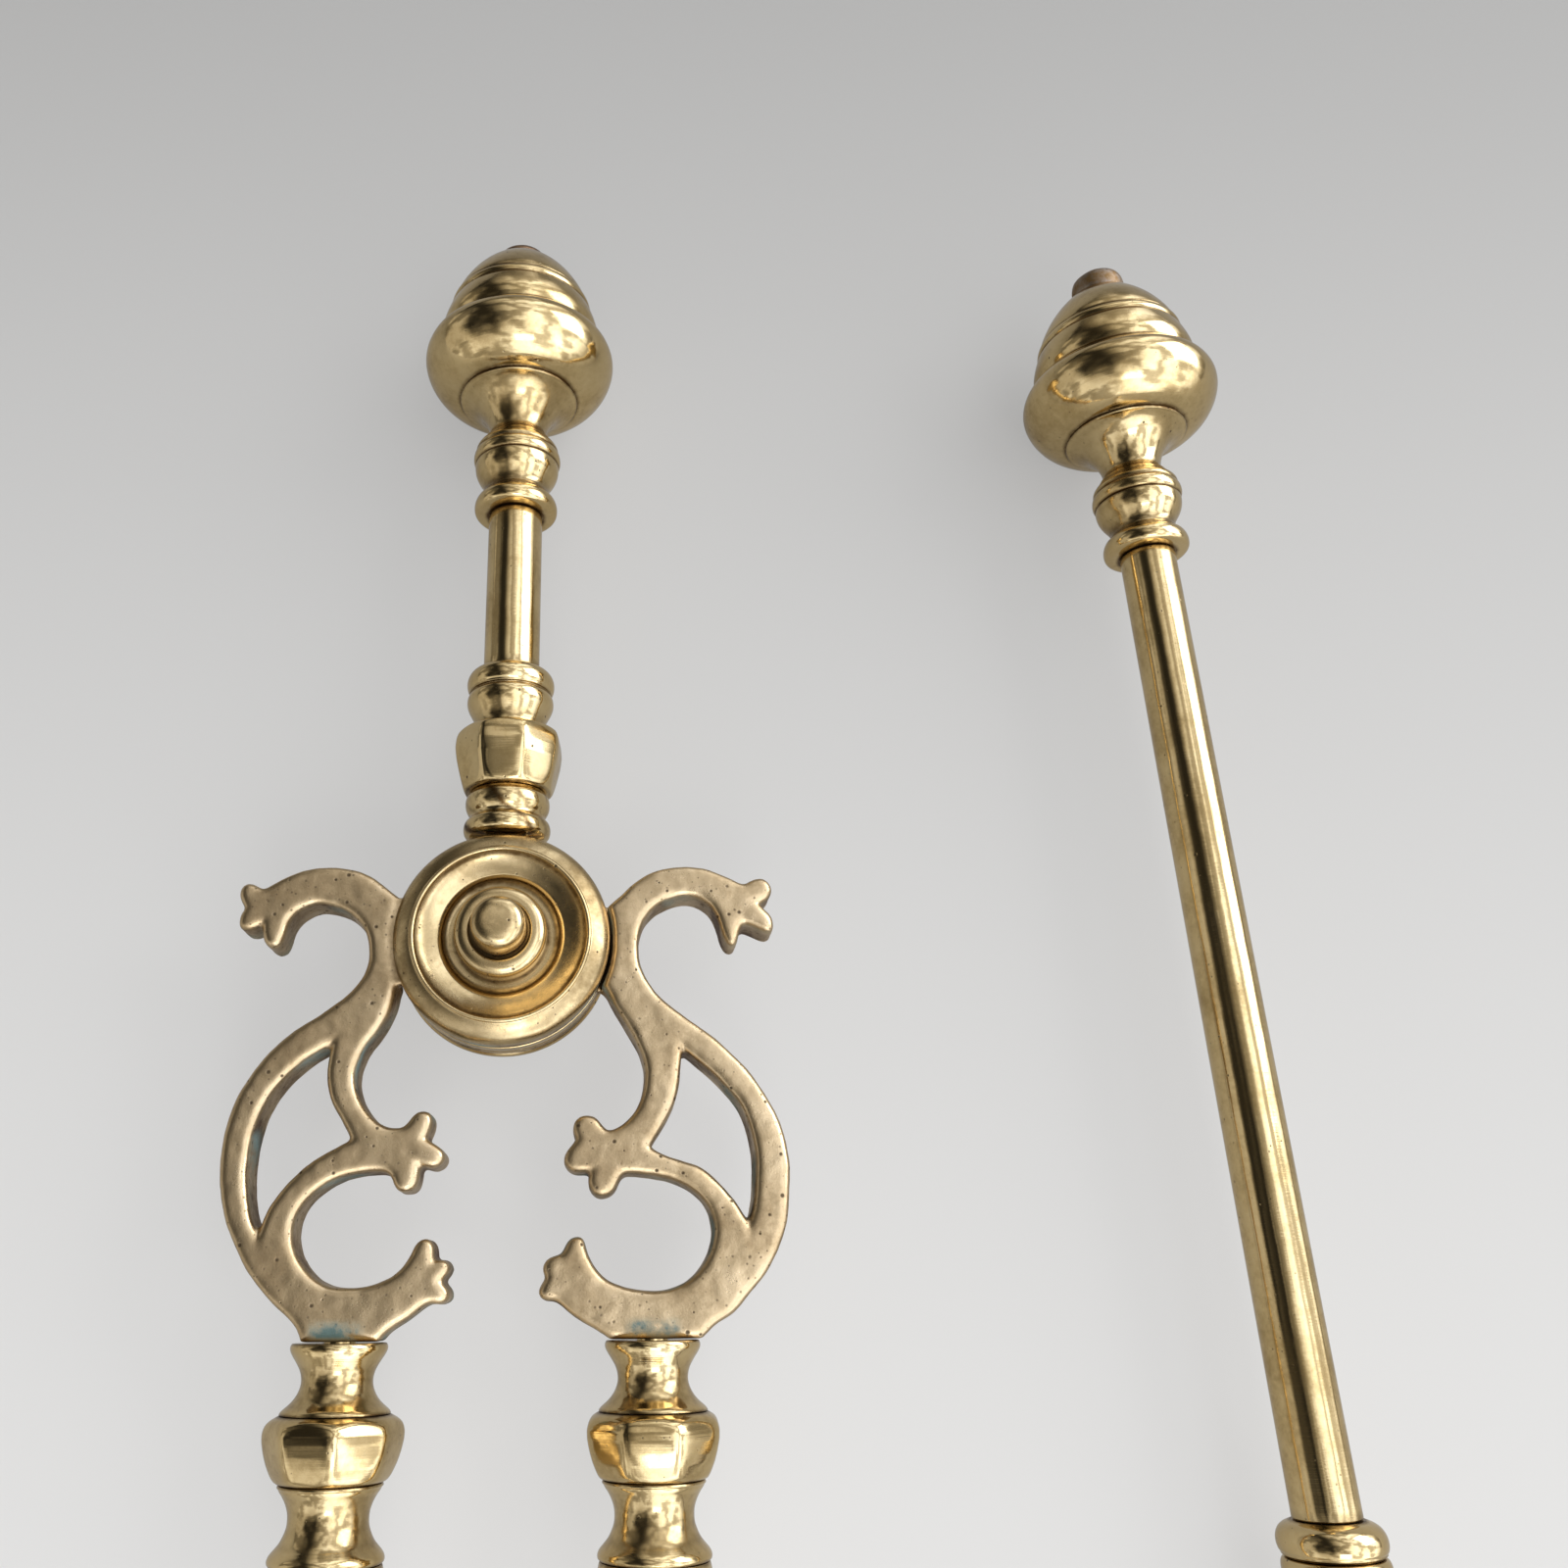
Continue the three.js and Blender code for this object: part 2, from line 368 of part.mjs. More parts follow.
const rod = new THREE.Group();
poker(rod);
const drop = Math.asin((BULB_R - SHAFT_R) / (BULB_H - POKER_CONTACT));
const yAxis = new THREE.Vector3(-POKER_LEAN, 1, 0).normalize().multiplyScalar(Math.cos(drop));
yAxis.z = Math.sin(drop);
const xAxis = new THREE.Vector3(yAxis.y, -yAxis.x, 0).normalize();
const zAxis = new THREE.Vector3().crossVectors(xAxis, yAxis);
rod.quaternion.setFromRotationMatrix(new THREE.Matrix4().makeBasis(xAxis, yAxis, zAxis));
rod.position.set(POKER_AT[0] - yAxis.x * POKER_SEAT, POKER_AT[1] - yAxis.y * POKER_SEAT,
  BULB_R * Math.cos(drop) - yAxis.z * BULB_H);
irons.add(rod);

irons.updateMatrixWorld(true);
const box = new THREE.Box3().setFromObject(irons, true);
irons.position.set(-(box.min.x + box.max.x) / 2, -(box.min.y + box.max.y) / 2, -box.min.z);
irons.updateMatrixWorld(true);

export default irons;
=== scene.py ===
# Brass fire tongs and a poker lying on a pale surface: turned brass pieces, cast scroll
# arms, a round pivot boss, and the light they are seen in. Metres; profiles are in
# millimetres from the tongs' pivot, +Y towards the finials.

import math

import bmesh
import bpy
from mathutils import Matrix, Vector, kdtree, noise
from mathutils.geometry import interpolate_bezier


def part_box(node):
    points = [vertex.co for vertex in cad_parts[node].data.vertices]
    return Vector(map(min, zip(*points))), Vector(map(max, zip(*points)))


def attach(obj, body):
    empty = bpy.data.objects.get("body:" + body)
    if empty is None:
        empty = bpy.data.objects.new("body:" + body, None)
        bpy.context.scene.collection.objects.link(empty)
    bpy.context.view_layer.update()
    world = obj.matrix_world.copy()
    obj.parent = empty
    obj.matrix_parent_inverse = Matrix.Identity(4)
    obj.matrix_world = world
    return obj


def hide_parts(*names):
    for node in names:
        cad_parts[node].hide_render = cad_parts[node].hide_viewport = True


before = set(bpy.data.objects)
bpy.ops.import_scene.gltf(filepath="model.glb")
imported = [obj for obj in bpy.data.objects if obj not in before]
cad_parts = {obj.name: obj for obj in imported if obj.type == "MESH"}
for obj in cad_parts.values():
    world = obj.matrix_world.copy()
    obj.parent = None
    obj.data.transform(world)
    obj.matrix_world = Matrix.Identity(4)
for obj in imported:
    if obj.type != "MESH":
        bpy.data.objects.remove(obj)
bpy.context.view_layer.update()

MM = 0.001
pin_low, pin_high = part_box("pivot_pin")
tube_low, tube_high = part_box("tongs_handle_tube")
PIVOT = Vector(((pin_low.x + pin_high.x) / 2, (pin_low.y + pin_high.y) / 2, (tube_low.z + tube_high.z) / 2))

# ---- driving sizes, millimetres --------------------------------------------------------
BULB_R, BULB_H = 20.2, 128.8
ROD_R, SPIGOT_R, BORE_R, EYE_BORE_R = 5.5, 2.6, 2.9, 4.13
BOSS_R, EYE_R, CLEAR_R = 19.5, 19.3, 19.9
ARM_HALF, ARM_EDGE = 4.5, 1.25
EYE_LAYER = (1.8, 4.3)
PLATE_HALF = 1.5
LEG_X = (-25.3, 26.6)
FOOT_Y = -67.4
PAD_Y, PAD_R, PAD_GAP, CRANK_R = -479.8, 20.2, 0.4, 14.0
POKER_AT, POKER_SEAT, POKER_LEAN = (130.9, 111.8), 119.55, 0.0352
SHAFT_R, POKER_CONTACT = 5.0, -470.0
POKER_DROP = 144.0
STRAIGHT_STEP = 1.6
ROD_RINGS = 220

# ---- camera ------------------------------------------------------------------------------
camera_data = bpy.data.cameras.new("camera")
camera_data.sensor_width = 36.0
camera_data.lens = 31.36
camera_data.shift_x = 0.09
camera_data.clip_start, camera_data.clip_end = 0.01, 100.0
camera = bpy.data.objects.new("camera", camera_data)
bpy.context.scene.collection.objects.link(camera)
bpy.context.scene.camera = camera
look = Vector((0.0279942, 0.35684804, -0.9337429)).normalized()
up = Vector((-0.00109973, 0.93411942, 0.35695896))
right = look.cross(up).normalized()
up = right.cross(look)
camera.matrix_world = Matrix.Translation(PIVOT + Vector((18.51, -62.28, 245.98)) * MM) @ Matrix(
    (right, up, -look)
).transposed().to_4x4()


# ---- shader groups -----------------------------------------------------------------------
def node(tree, kind, x=0, y=0, **values):
    """A shader node with its settings and socket values given by name."""
    made = tree.nodes.new(kind)
    made.location = (x, y)
    for key, value in values.items():
        if hasattr(made, key):
            setattr(made, key, value)
        else:
            made.inputs[key.replace("_", " ")].default_value = value
    return made


def maths(tree, operation, a, b=None, clamp=False):
    made = tree.nodes.new("ShaderNodeMath")
    made.operation, made.use_clamp = operation, clamp
    for socket, value in zip(made.inputs, (a, b)):
        if value is None:
            continue
        if isinstance(value, (int, float)):
            socket.default_value = value
        else:
            tree.links.new(value, socket)
    return made.outputs[0]


def blend_colour(tree, factor, a, b, mode="MIX"):
    made = tree.nodes.new("ShaderNodeMix")
    made.data_type, made.blend_type = "RGBA", mode
    for socket, value in ((made.inputs[0], factor), (made.inputs[6], a), (made.inputs[7], b)):
        if isinstance(value, (int, float)):
            socket.default_value = value
        elif isinstance(value, tuple):
            socket.default_value = (*value, 1.0)
        else:
            tree.links.new(value, socket)
    return made.outputs[2]


def span(tree, value, low, high, to_low=0.0, to_high=1.0):
    made = node(tree, "ShaderNodeMapRange", From_Min=low, From_Max=high, To_Min=to_low, To_Max=to_high)
    tree.links.new(value, made.inputs["Value"])
    return made.outputs["Result"]


def new_group(name, inputs, outputs):
    tree = bpy.data.node_groups.new(name, "ShaderNodeTree")
    for label, kind, value in inputs:
        socket = tree.interface.new_socket(name=label, in_out="INPUT", socket_type=kind)
        if value is not None:
            socket.default_value = value
    for label, kind in outputs:
        tree.interface.new_socket(name=label, in_out="OUTPUT", socket_type=kind)
    return tree, node(tree, "NodeGroupInput", -900), node(tree, "NodeGroupOutput", 900)


def pitting_group():
    """Small scattered pits: a mask and a height."""
    tree, given, out = new_group(
        "pitting",
        [("Position", "NodeSocketVector", None), ("Cells", "NodeSocketFloat", 500.0), ("Share", "NodeSocketFloat", 0.2),
         ("Size", "NodeSocketFloat", 0.16)],
        [("Mask", "NodeSocketFloat"), ("Depth", "NodeSocketFloat")])
    cells = node(tree, "ShaderNodeTexVoronoi", -500, feature="F1", Randomness=1.0)
    tree.links.new(given.outputs["Position"], cells.inputs["Vector"])
    tree.links.new(given.outputs["Cells"], cells.inputs["Scale"])
    pick = node(tree, "ShaderNodeSeparateColor", -300, -200)
    tree.links.new(cells.outputs["Color"], pick.inputs[0])
    chosen = maths(tree, "LESS_THAN", pick.outputs[0], given.outputs["Share"])
    reach = maths(tree, "MULTIPLY", given.outputs["Size"], span(tree, pick.outputs[1], 0.0, 1.0, 0.35, 1.0))
    near = maths(tree, "SUBTRACT", 1.0, maths(tree, "DIVIDE", cells.outputs["Distance"], reach), clamp=True)
    mask = maths(tree, "MULTIPLY", near, chosen)
    tree.links.new(span(tree, mask, 0.0, 0.5), out.inputs["Mask"])
    tree.links.new(maths(tree, "MULTIPLY", mask, -1.0), out.inputs["Depth"])
    return tree


def patina_and_shade_group():
    """Brown patina in hollows and seams, and on the cast arms painted shade on the side walls, broken up by noise, and
    thinned where edges are rubbed.
    """
    tree, given, out = new_group(
        "patina_and_shade_mix",
        [("Position", "NodeSocketVector", None), ("Hollow", "NodeSocketFloat", 0.0), ("Rubbed", "NodeSocketFloat", 0.0),
         ("Spread", "NodeSocketFloat", 0.3)],
        [("Mask", "NodeSocketFloat"), ("Bloom", "NodeSocketFloat")])
    broad = node(tree, "ShaderNodeTexNoise", -500, 200, Scale=95.0, Detail=5.0, Roughness=0.62)
    fine = node(tree, "ShaderNodeTexNoise", -500, -100, Scale=900.0, Detail=4.0, Roughness=0.7)
    for made in (broad, fine):
        tree.links.new(given.outputs["Position"], made.inputs["Vector"])
    grain = maths(tree, "ADD", maths(tree, "MULTIPLY", broad.outputs["Fac"], 0.7),
                  maths(tree, "MULTIPLY", fine.outputs["Fac"], 0.3))
    held = maths(tree, "MULTIPLY", given.outputs["Hollow"], span(tree, grain, 0.3, 0.6, 0.55, 1.25))
    bloom = maths(tree, "MULTIPLY", span(tree, grain, 0.47, 0.72), given.outputs["Spread"])
    both = maths(tree, "SUBTRACT", maths(tree, "ADD", held, bloom), maths(tree, "MULTIPLY", given.outputs["Rubbed"], 0.6),
                 clamp=True)
    tree.links.new(both, out.inputs["Mask"])
    tree.links.new(grain, out.inputs["Bloom"])
    return tree


def relief_group():
    """Surface height of worked brass: slow waves from filing and polishing, turning lines and fine grain."""
    tree, given, out = new_group(
        "relief",
        [("Position", "NodeSocketVector", None), ("Waves", "NodeSocketFloat", 0.5), ("Lines", "NodeSocketFloat", 0.1),
         ("Grain", "NodeSocketFloat", 0.05)],
        [("Height", "NodeSocketFloat")])
    waves = node(tree, "ShaderNodeTexNoise", -500, 300, Scale=140.0, Detail=1.5, Roughness=0.4)
    grain = node(tree, "ShaderNodeTexNoise", -500, 0, Scale=2600.0, Detail=3.0, Roughness=0.7)
    stretch = node(tree, "ShaderNodeMapping", -700, -300)
    stretch.inputs["Scale"].default_value = (60.0, 4200.0, 60.0)
    lines = node(tree, "ShaderNodeTexNoise", -500, -300, Scale=1.0, Detail=2.0, Roughness=0.6)
    tree.links.new(given.outputs["Position"], stretch.inputs["Vector"])
    tree.links.new(stretch.outputs["Vector"], lines.inputs["Vector"])
    for made in (waves, grain):
        tree.links.new(given.outputs["Position"], made.inputs["Vector"])
    total = maths(tree, "MULTIPLY", waves.outputs["Fac"], given.outputs["Waves"])
    total = maths(tree, "ADD", total, maths(tree, "MULTIPLY", lines.outputs["Fac"], given.outputs["Lines"]))
    total = maths(tree, "ADD", total, maths(tree, "MULTIPLY", grain.outputs["Fac"], given.outputs["Grain"]))
    tree.links.new(total, out.inputs["Height"])
    return tree


PITTING, PATINA_AND_SHADE, RELIEF = pitting_group(), patina_and_shade_group(), relief_group()


def use_group(tree, group, position, **values):
    made = tree.nodes.new("ShaderNodeGroup")
    made.node_tree = group
    tree.links.new(position, made.inputs["Position"])
    for key, value in values.items():
        if isinstance(value, (int, float)):
            made.inputs[key].default_value = value
        else:
            tree.links.new(value, made.inputs[key])
    return made.outputs


def aged_metal(name, bright, dull, brown, polish, waves, lines, grain, pits, pit_size, spread, verdigris=False):
    """A worn metal: clean colour, duller colour, patina (with painted shade where its mark holds shade), pits, relief
    and, where asked, green verdigris.
    """
    material = bpy.data.materials.new(name)
    material.use_nodes = True
    tree = material.node_tree
    shader = tree.nodes["Principled BSDF"]
    shader.inputs["Metallic"].default_value = 1.0
    place = node(tree, "ShaderNodeTexCoord", -1200).outputs["Object"]
    patina_and_shade = node(tree, "ShaderNodeAttribute", -1200, -300, attribute_name="patina_and_shade").outputs["Fac"]
    rubbed = node(tree, "ShaderNodeAttribute", -1200, -500, attribute_name="rubbed").outputs["Fac"]
    patina_and_shade_mix = use_group(tree, PATINA_AND_SHADE, place, Hollow=patina_and_shade, Rubbed=rubbed, Spread=spread)
    pit = use_group(tree, PITTING, place, Cells=420.0, Share=pits, Size=pit_size)
    speck = use_group(tree, PITTING, place, Cells=900.0, Share=pits * 0.8, Size=pit_size * 1.3)
    relief = use_group(tree, RELIEF, place, Waves=waves, Lines=lines, Grain=grain)
    colour = blend_colour(tree, span(tree, patina_and_shade_mix["Bloom"], 0.35, 0.65), bright, dull)
    colour = blend_colour(tree, patina_and_shade_mix["Mask"], colour, brown)
    dark = maths(tree, "MULTIPLY", maths(tree, "MAXIMUM", pit["Mask"], maths(tree, "MULTIPLY", speck["Mask"], 0.7)), 0.85)
    colour = blend_colour(tree, dark, colour, (0.045, 0.028, 0.014))
    rough = span(tree, patina_and_shade_mix["Bloom"], 0.35, 0.68, polish[0], polish[1])
    rough = maths(tree, "ADD", rough, maths(tree, "MULTIPLY", patina_and_shade_mix["Mask"], 0.22))
    rough = maths(tree, "ADD", rough, maths(tree, "MULTIPLY", dark, 0.3), clamp=True)
    height = maths(tree, "ADD", relief["Height"], maths(tree, "MULTIPLY", pit["Depth"], 0.5))
    height = maths(tree, "ADD", height, maths(tree, "MULTIPLY", speck["Depth"], 0.12))
    if verdigris:
        green = node(tree, "ShaderNodeAttribute", -1200, -700, attribute_name="verdigris").outputs["Fac"]
        crust = maths(tree, "MULTIPLY", green, span(tree, patina_and_shade_mix["Bloom"], 0.36, 0.52), clamp=True)
        colour = blend_colour(tree, crust, colour, (0.13, 0.20, 0.175))
        rough = maths(tree, "ADD", rough, maths(tree, "MULTIPLY", crust, 0.4), clamp=True)
        tree.links.new(span(tree, crust, 0.2, 0.8, 1.0, 0.15), shader.inputs["Metallic"])
    bump = node(tree, "ShaderNodeBump", 200, -400, Strength=1.0, Distance=0.00012)
    tree.links.new(height, bump.inputs["Height"])
    tree.links.new(bump.outputs["Normal"], shader.inputs["Normal"])
    tree.links.new(colour, shader.inputs["Base Color"])
    tree.links.new(rough, shader.inputs["Roughness"])
    return material


BRASS = aged_metal("polished brass", (0.78, 0.60, 0.31), (0.64, 0.46, 0.20), (0.12, 0.066, 0.022), (0.05, 0.15),
                   waves=1.1, lines=0.08, grain=0.03, pits=0.30, pit_size=0.15, spread=0.34)
SATIN = aged_metal("rubbed brass", (0.72, 0.55, 0.29), (0.56, 0.405, 0.19), (0.12, 0.072, 0.026), (0.15, 0.28),
                   waves=0.9, lines=0.03, grain=0.10, pits=0.45, pit_size=0.17, spread=0.38)
CAST = aged_metal("cast brass", (0.70, 0.535, 0.315), (0.54, 0.39, 0.205), (0.11, 0.062, 0.03), (0.26, 0.38),
                  waves=1.0, lines=0.0, grain=0.26, pits=0.85, pit_size=0.21, spread=0.45, verdigris=True)
IRON = aged_metal("browned iron", (0.36, 0.22, 0.12), (0.21, 0.12, 0.065), (0.07, 0.036, 0.02), (0.16, 0.34),
                  waves=0.8, lines=0.0, grain=0.15, pits=0.2, pit_size=0.22, spread=0.4)
STEEL = aged_metal("worn steel", (0.46, 0.44, 0.41), (0.30, 0.28, 0.26), (0.25, 0.15, 0.06), (0.22, 0.42),
                   waves=0.8, lines=0.25, grain=0.12, pits=0.2, pit_size=0.22, spread=0.5)

# ---- profiles: (radius, height) pairs, a third value marks a crisp corner -----------------
BULB = [
    (2.9, 119.65, 1), (12.35, 119.65, 1), (12.7, 119.85, 1), (13.6, 120.1), (15.6, 121.1), (17.7, 122.9), (19.2, 125.1),
    (20.0, 127.2), (20.2, 128.8), (20.0, 130.2), (19.4, 131.6), (18.5, 132.7), (17.6, 133.5), (16.9, 133.95, 1),
    (16.25, 134.2, 1), (16.5, 134.75, 1), (16.8, 135.8), (16.85, 137.2), (16.5, 138.8), (16.0, 140.3), (15.5, 141.6, 1),
    (14.95, 141.85, 1), (15.2, 142.25, 1), (15.3, 142.9), (15.1, 143.6), (14.9, 143.95, 1), (14.45, 144.1, 1),
    (14.55, 144.5, 1), (14.1, 145.8), (13.2, 147.6), (12.0, 149.6), (10.6, 151.5), (9.1, 153.2), (7.7, 154.6), (6.7, 155.5),
    (6.2, 156.0, 1), (2.9, 156.0, 1)]
NECK = [
    (2.9, 90.9, 1), (5.9, 90.9, 1), (7.5, 91.0), (8.3, 91.5), (8.55, 92.4), (8.45, 93.4), (8.0, 94.4), (7.2, 95.2),
    (6.7, 95.9), (6.5, 96.7), (6.7, 97.6), (7.3, 98.7), (8.0, 99.8), (8.5, 101.0), (8.7, 102.2), (8.7, 102.8, 1),
    (8.3, 103.0, 1), (8.75, 103.25, 1), (9.0, 103.8), (9.08, 104.4), (9.0, 105.1), (8.85, 105.55, 1), (8.4, 105.75, 1),
    (8.65, 106.05, 1), (8.6, 106.7), (8.2, 107.4), (7.6, 107.9, 1), (7.35, 108.3), (7.0, 109.0), (6.3, 109.7, 1),
    (6.0, 110.6), (6.05, 111.8), (6.5, 113.4), (7.4, 115.2), (8.8, 117.0), (10.4, 118.2), (11.8, 118.9),
    (12.25, 119.05, 1), (12.45, 119.25, 1), (12.45, 119.55, 1), (2.9, 119.55, 1)]
RING = [
    (2.9, 49.9, 1), (7.6, 49.9, 1), (7.7, 50.15, 1), (8.1, 50.3, 1), (8.1, 50.6, 1), (8.35, 50.9, 1), (8.55, 51.8), (8.45, 53.0),
    (7.9, 54.1), (7.0, 54.8), (6.2, 55.1, 1), (5.8, 55.3, 1), (2.9, 55.3, 1)]
VASE = [
    (2.9, 42.4, 1), (6.85, 42.4, 1), (6.75, 43.0), (6.8, 43.8), (7.1, 44.7), (7.6, 45.7), (8.1, 46.7), (8.4, 47.7),
    (8.4, 48.7), (8.2, 49.4), (7.85, 49.8, 1), (2.9, 49.8, 1)]
OCTAGON = [
    (2.9, 29.4, 1), (7.8, 29.4, 1), (8.5, 29.8), (9.0, 30.6), (9.7, 32.6), (10.3, 35.2), (10.7, 37.5), (10.65, 39.4),
    (10.2, 40.8), (9.3, 41.7), (8.2, 42.1), (7.1, 42.3, 1), (2.9, 42.3, 1)]
OCTAGON_FLATS = [(29.4, 8.35), (33.0, 9.15), (35.6, 9.75), (38.0, 10.0), (39.8, 9.85), (42.3, 9.3)]
BOSS_NECK = [
    (0.0, 20.3, 1), (7.2, 20.3, 1), (7.9, 20.8), (8.2, 21.6), (8.2, 22.5), (7.9, 23.3), (7.4, 23.8, 1), (7.05, 24.2, 1),
    (7.1, 24.8, 1), (7.5, 25.3), (7.9, 26.2), (8.0, 27.2), (7.85, 28.2), (7.4, 28.8, 1), (7.2, 29.3, 1), (0.0, 29.3, 1)]
BUTTON = [
    (5.2, 156.1, 1), (5.5, 156.5), (5.6, 157.5), (5.5, 159.2), (5.1, 160.3), (4.2, 161.1), (2.8, 161.6), (1.4, 161.78),
    (0.0, 161.8, 1)]
LOW_BUTTON = [
    (5.2, 156.1, 1), (5.5, 156.4), (5.5, 156.9), (5.1, 157.7), (4.2, 158.5), (2.9, 159.05), (1.4, 159.28), (0.0, 159.3, 1)]
SOCKET = [
    (2.9, -78.3, 1), (9.0, -78.3, 1), (8.85, -77.95), (8.4, -77.5), (7.6, -76.85), (6.8, -76.0), (6.2, -75.0), (5.85, -73.9),
    (5.85, -72.8), (6.2, -71.6), (6.9, -70.4), (7.5, -69.5), (7.9, -68.7), (7.95, -68.1), (7.7, -67.6, 1), (2.9, -67.6, 1)]
LEG_OCTAGON = [
    (2.9, -88.3, 1), (8.4, -88.3, 1), (9.0, -88.0), (9.6, -87.3), (10.4, -85.7), (11.0, -84.0), (11.4, -82.2), (11.45, -81.0),
    (11.1, -79.9), (10.3, -79.1), (9.4, -78.6), (9.0, -78.4, 1), (2.9, -78.4, 1)]
LEG_FLATS = [(-88.3, 8.8), (-87.2, 9.3), (-85.6, 9.95), (-84.0, 10.4), (-82.3, 10.75), (-80.9, 10.8), (-79.7, 10.5), (-78.4, 9.9)]
LEG_VASE = [
    (2.9, -99.8, 1), (8.8, -99.8, 1), (9.1, -99.5), (9.15, -99.0), (8.9, -98.4), (8.3, -97.7), (7.5, -96.8), (6.9, -95.7),
    (6.5, -94.6), (6.4, -93.5), (6.5, -92.4), (6.9, -91.2), (7.5, -90.1), (8.0, -89.4), (8.2, -89.0, 1), (8.45, -88.8, 1),
    (8.3, -88.4, 1), (2.9, -88.4, 1)]
LEG_KNOP = [
    (2.9, -113.4, 1), (5.8, -113.4, 1), (6.6, -113.0), (7.3, -112.4), (7.5, -111.7), (7.2, -111.0), (6.6, -110.4),
    (6.2, -109.6), (6.3, -108.6), (7.0, -107.6), (8.0, -106.3), (8.8, -104.9), (9.2, -103.2), (9.2, -101.8), (9.0, -100.6),
    (8.8, -99.9, 1), (2.9, -99.9, 1)]
PAD = [
    (2.9, 0.0, 1), (19.3, 0.0, 1), (19.9, 0.3), (20.2, 1.2), (20.2, 3.1), (19.8, 3.9), (18.8, 4.4), (16.0, 4.6), (11.0, 4.8),
    (9.6, 5.2), (8.8, 6.0), (8.3, 7.2), (7.5, 8.4), (6.4, 8.9, 1), (2.9, 8.9, 1)]
FRONT_CAP = [
    (4.13, 4.6, 1), (19.1, 4.6, 1), (19.5, 5.0, 1), (19.5, 5.8), (19.3, 6.7), (18.7, 7.6), (17.8, 8.3), (16.8, 8.85),
    (16.2, 9.1, 1), (16.05, 9.4, 1), (15.75, 9.5, 1), (15.45, 9.35, 1), (15.1, 8.9), (14.2, 8.3), (12.8, 7.75),
    (11.3, 7.35, 1), (10.8, 6.95, 1), (10.4, 6.3), (9.7, 6.0), (8.8, 6.0), (8.1, 6.0, 1), (4.13, 6.0, 1)]
REAR_CAP = [
    (4.13, -4.6, 1), (4.13, -9.4, 1), (8.2, -9.4, 1), (10.0, -9.35), (14.0, -8.9), (17.2, -8.1), (18.9, -7.1), (19.5, -6.0),
    (19.5, -5.0, 1), (19.1, -4.6, 1)]
COLLAR = [
    (4.13, 6.1, 1), (8.1, 6.1, 1), (8.3, 6.4, 1), (8.3, 9.4), (8.1, 10.4), (7.5, 11.05), (6.7, 11.35), (5.7, 11.4, 1),
    (5.3, 11.1, 1), (4.13, 10.9, 1)]
PIN = [
    (0.0, -12.8, 1), (4.5, -12.8), (6.3, -12.5), (7.0, -11.8), (7.0, -9.5, 1), (3.98, -9.5, 1), (3.98, 11.5, 1),
    (4.75, 11.6, 1), (4.85, 12.0, 1), (4.8, 15.4), (4.55, 16.5), (3.9, 17.2), (2.9, 17.55), (1.5, 17.64), (0.0, 17.65, 1)]

BULB_LINES = [(12.5, 119.6), (16.3, 134.1), (15.0, 141.8), (14.5, 144.1), (6.2, 156.0)]
NECK_LINES = [(12.5, 119.4), (8.4, 105.8), (8.4, 103.0), (5.7, 90.9)]

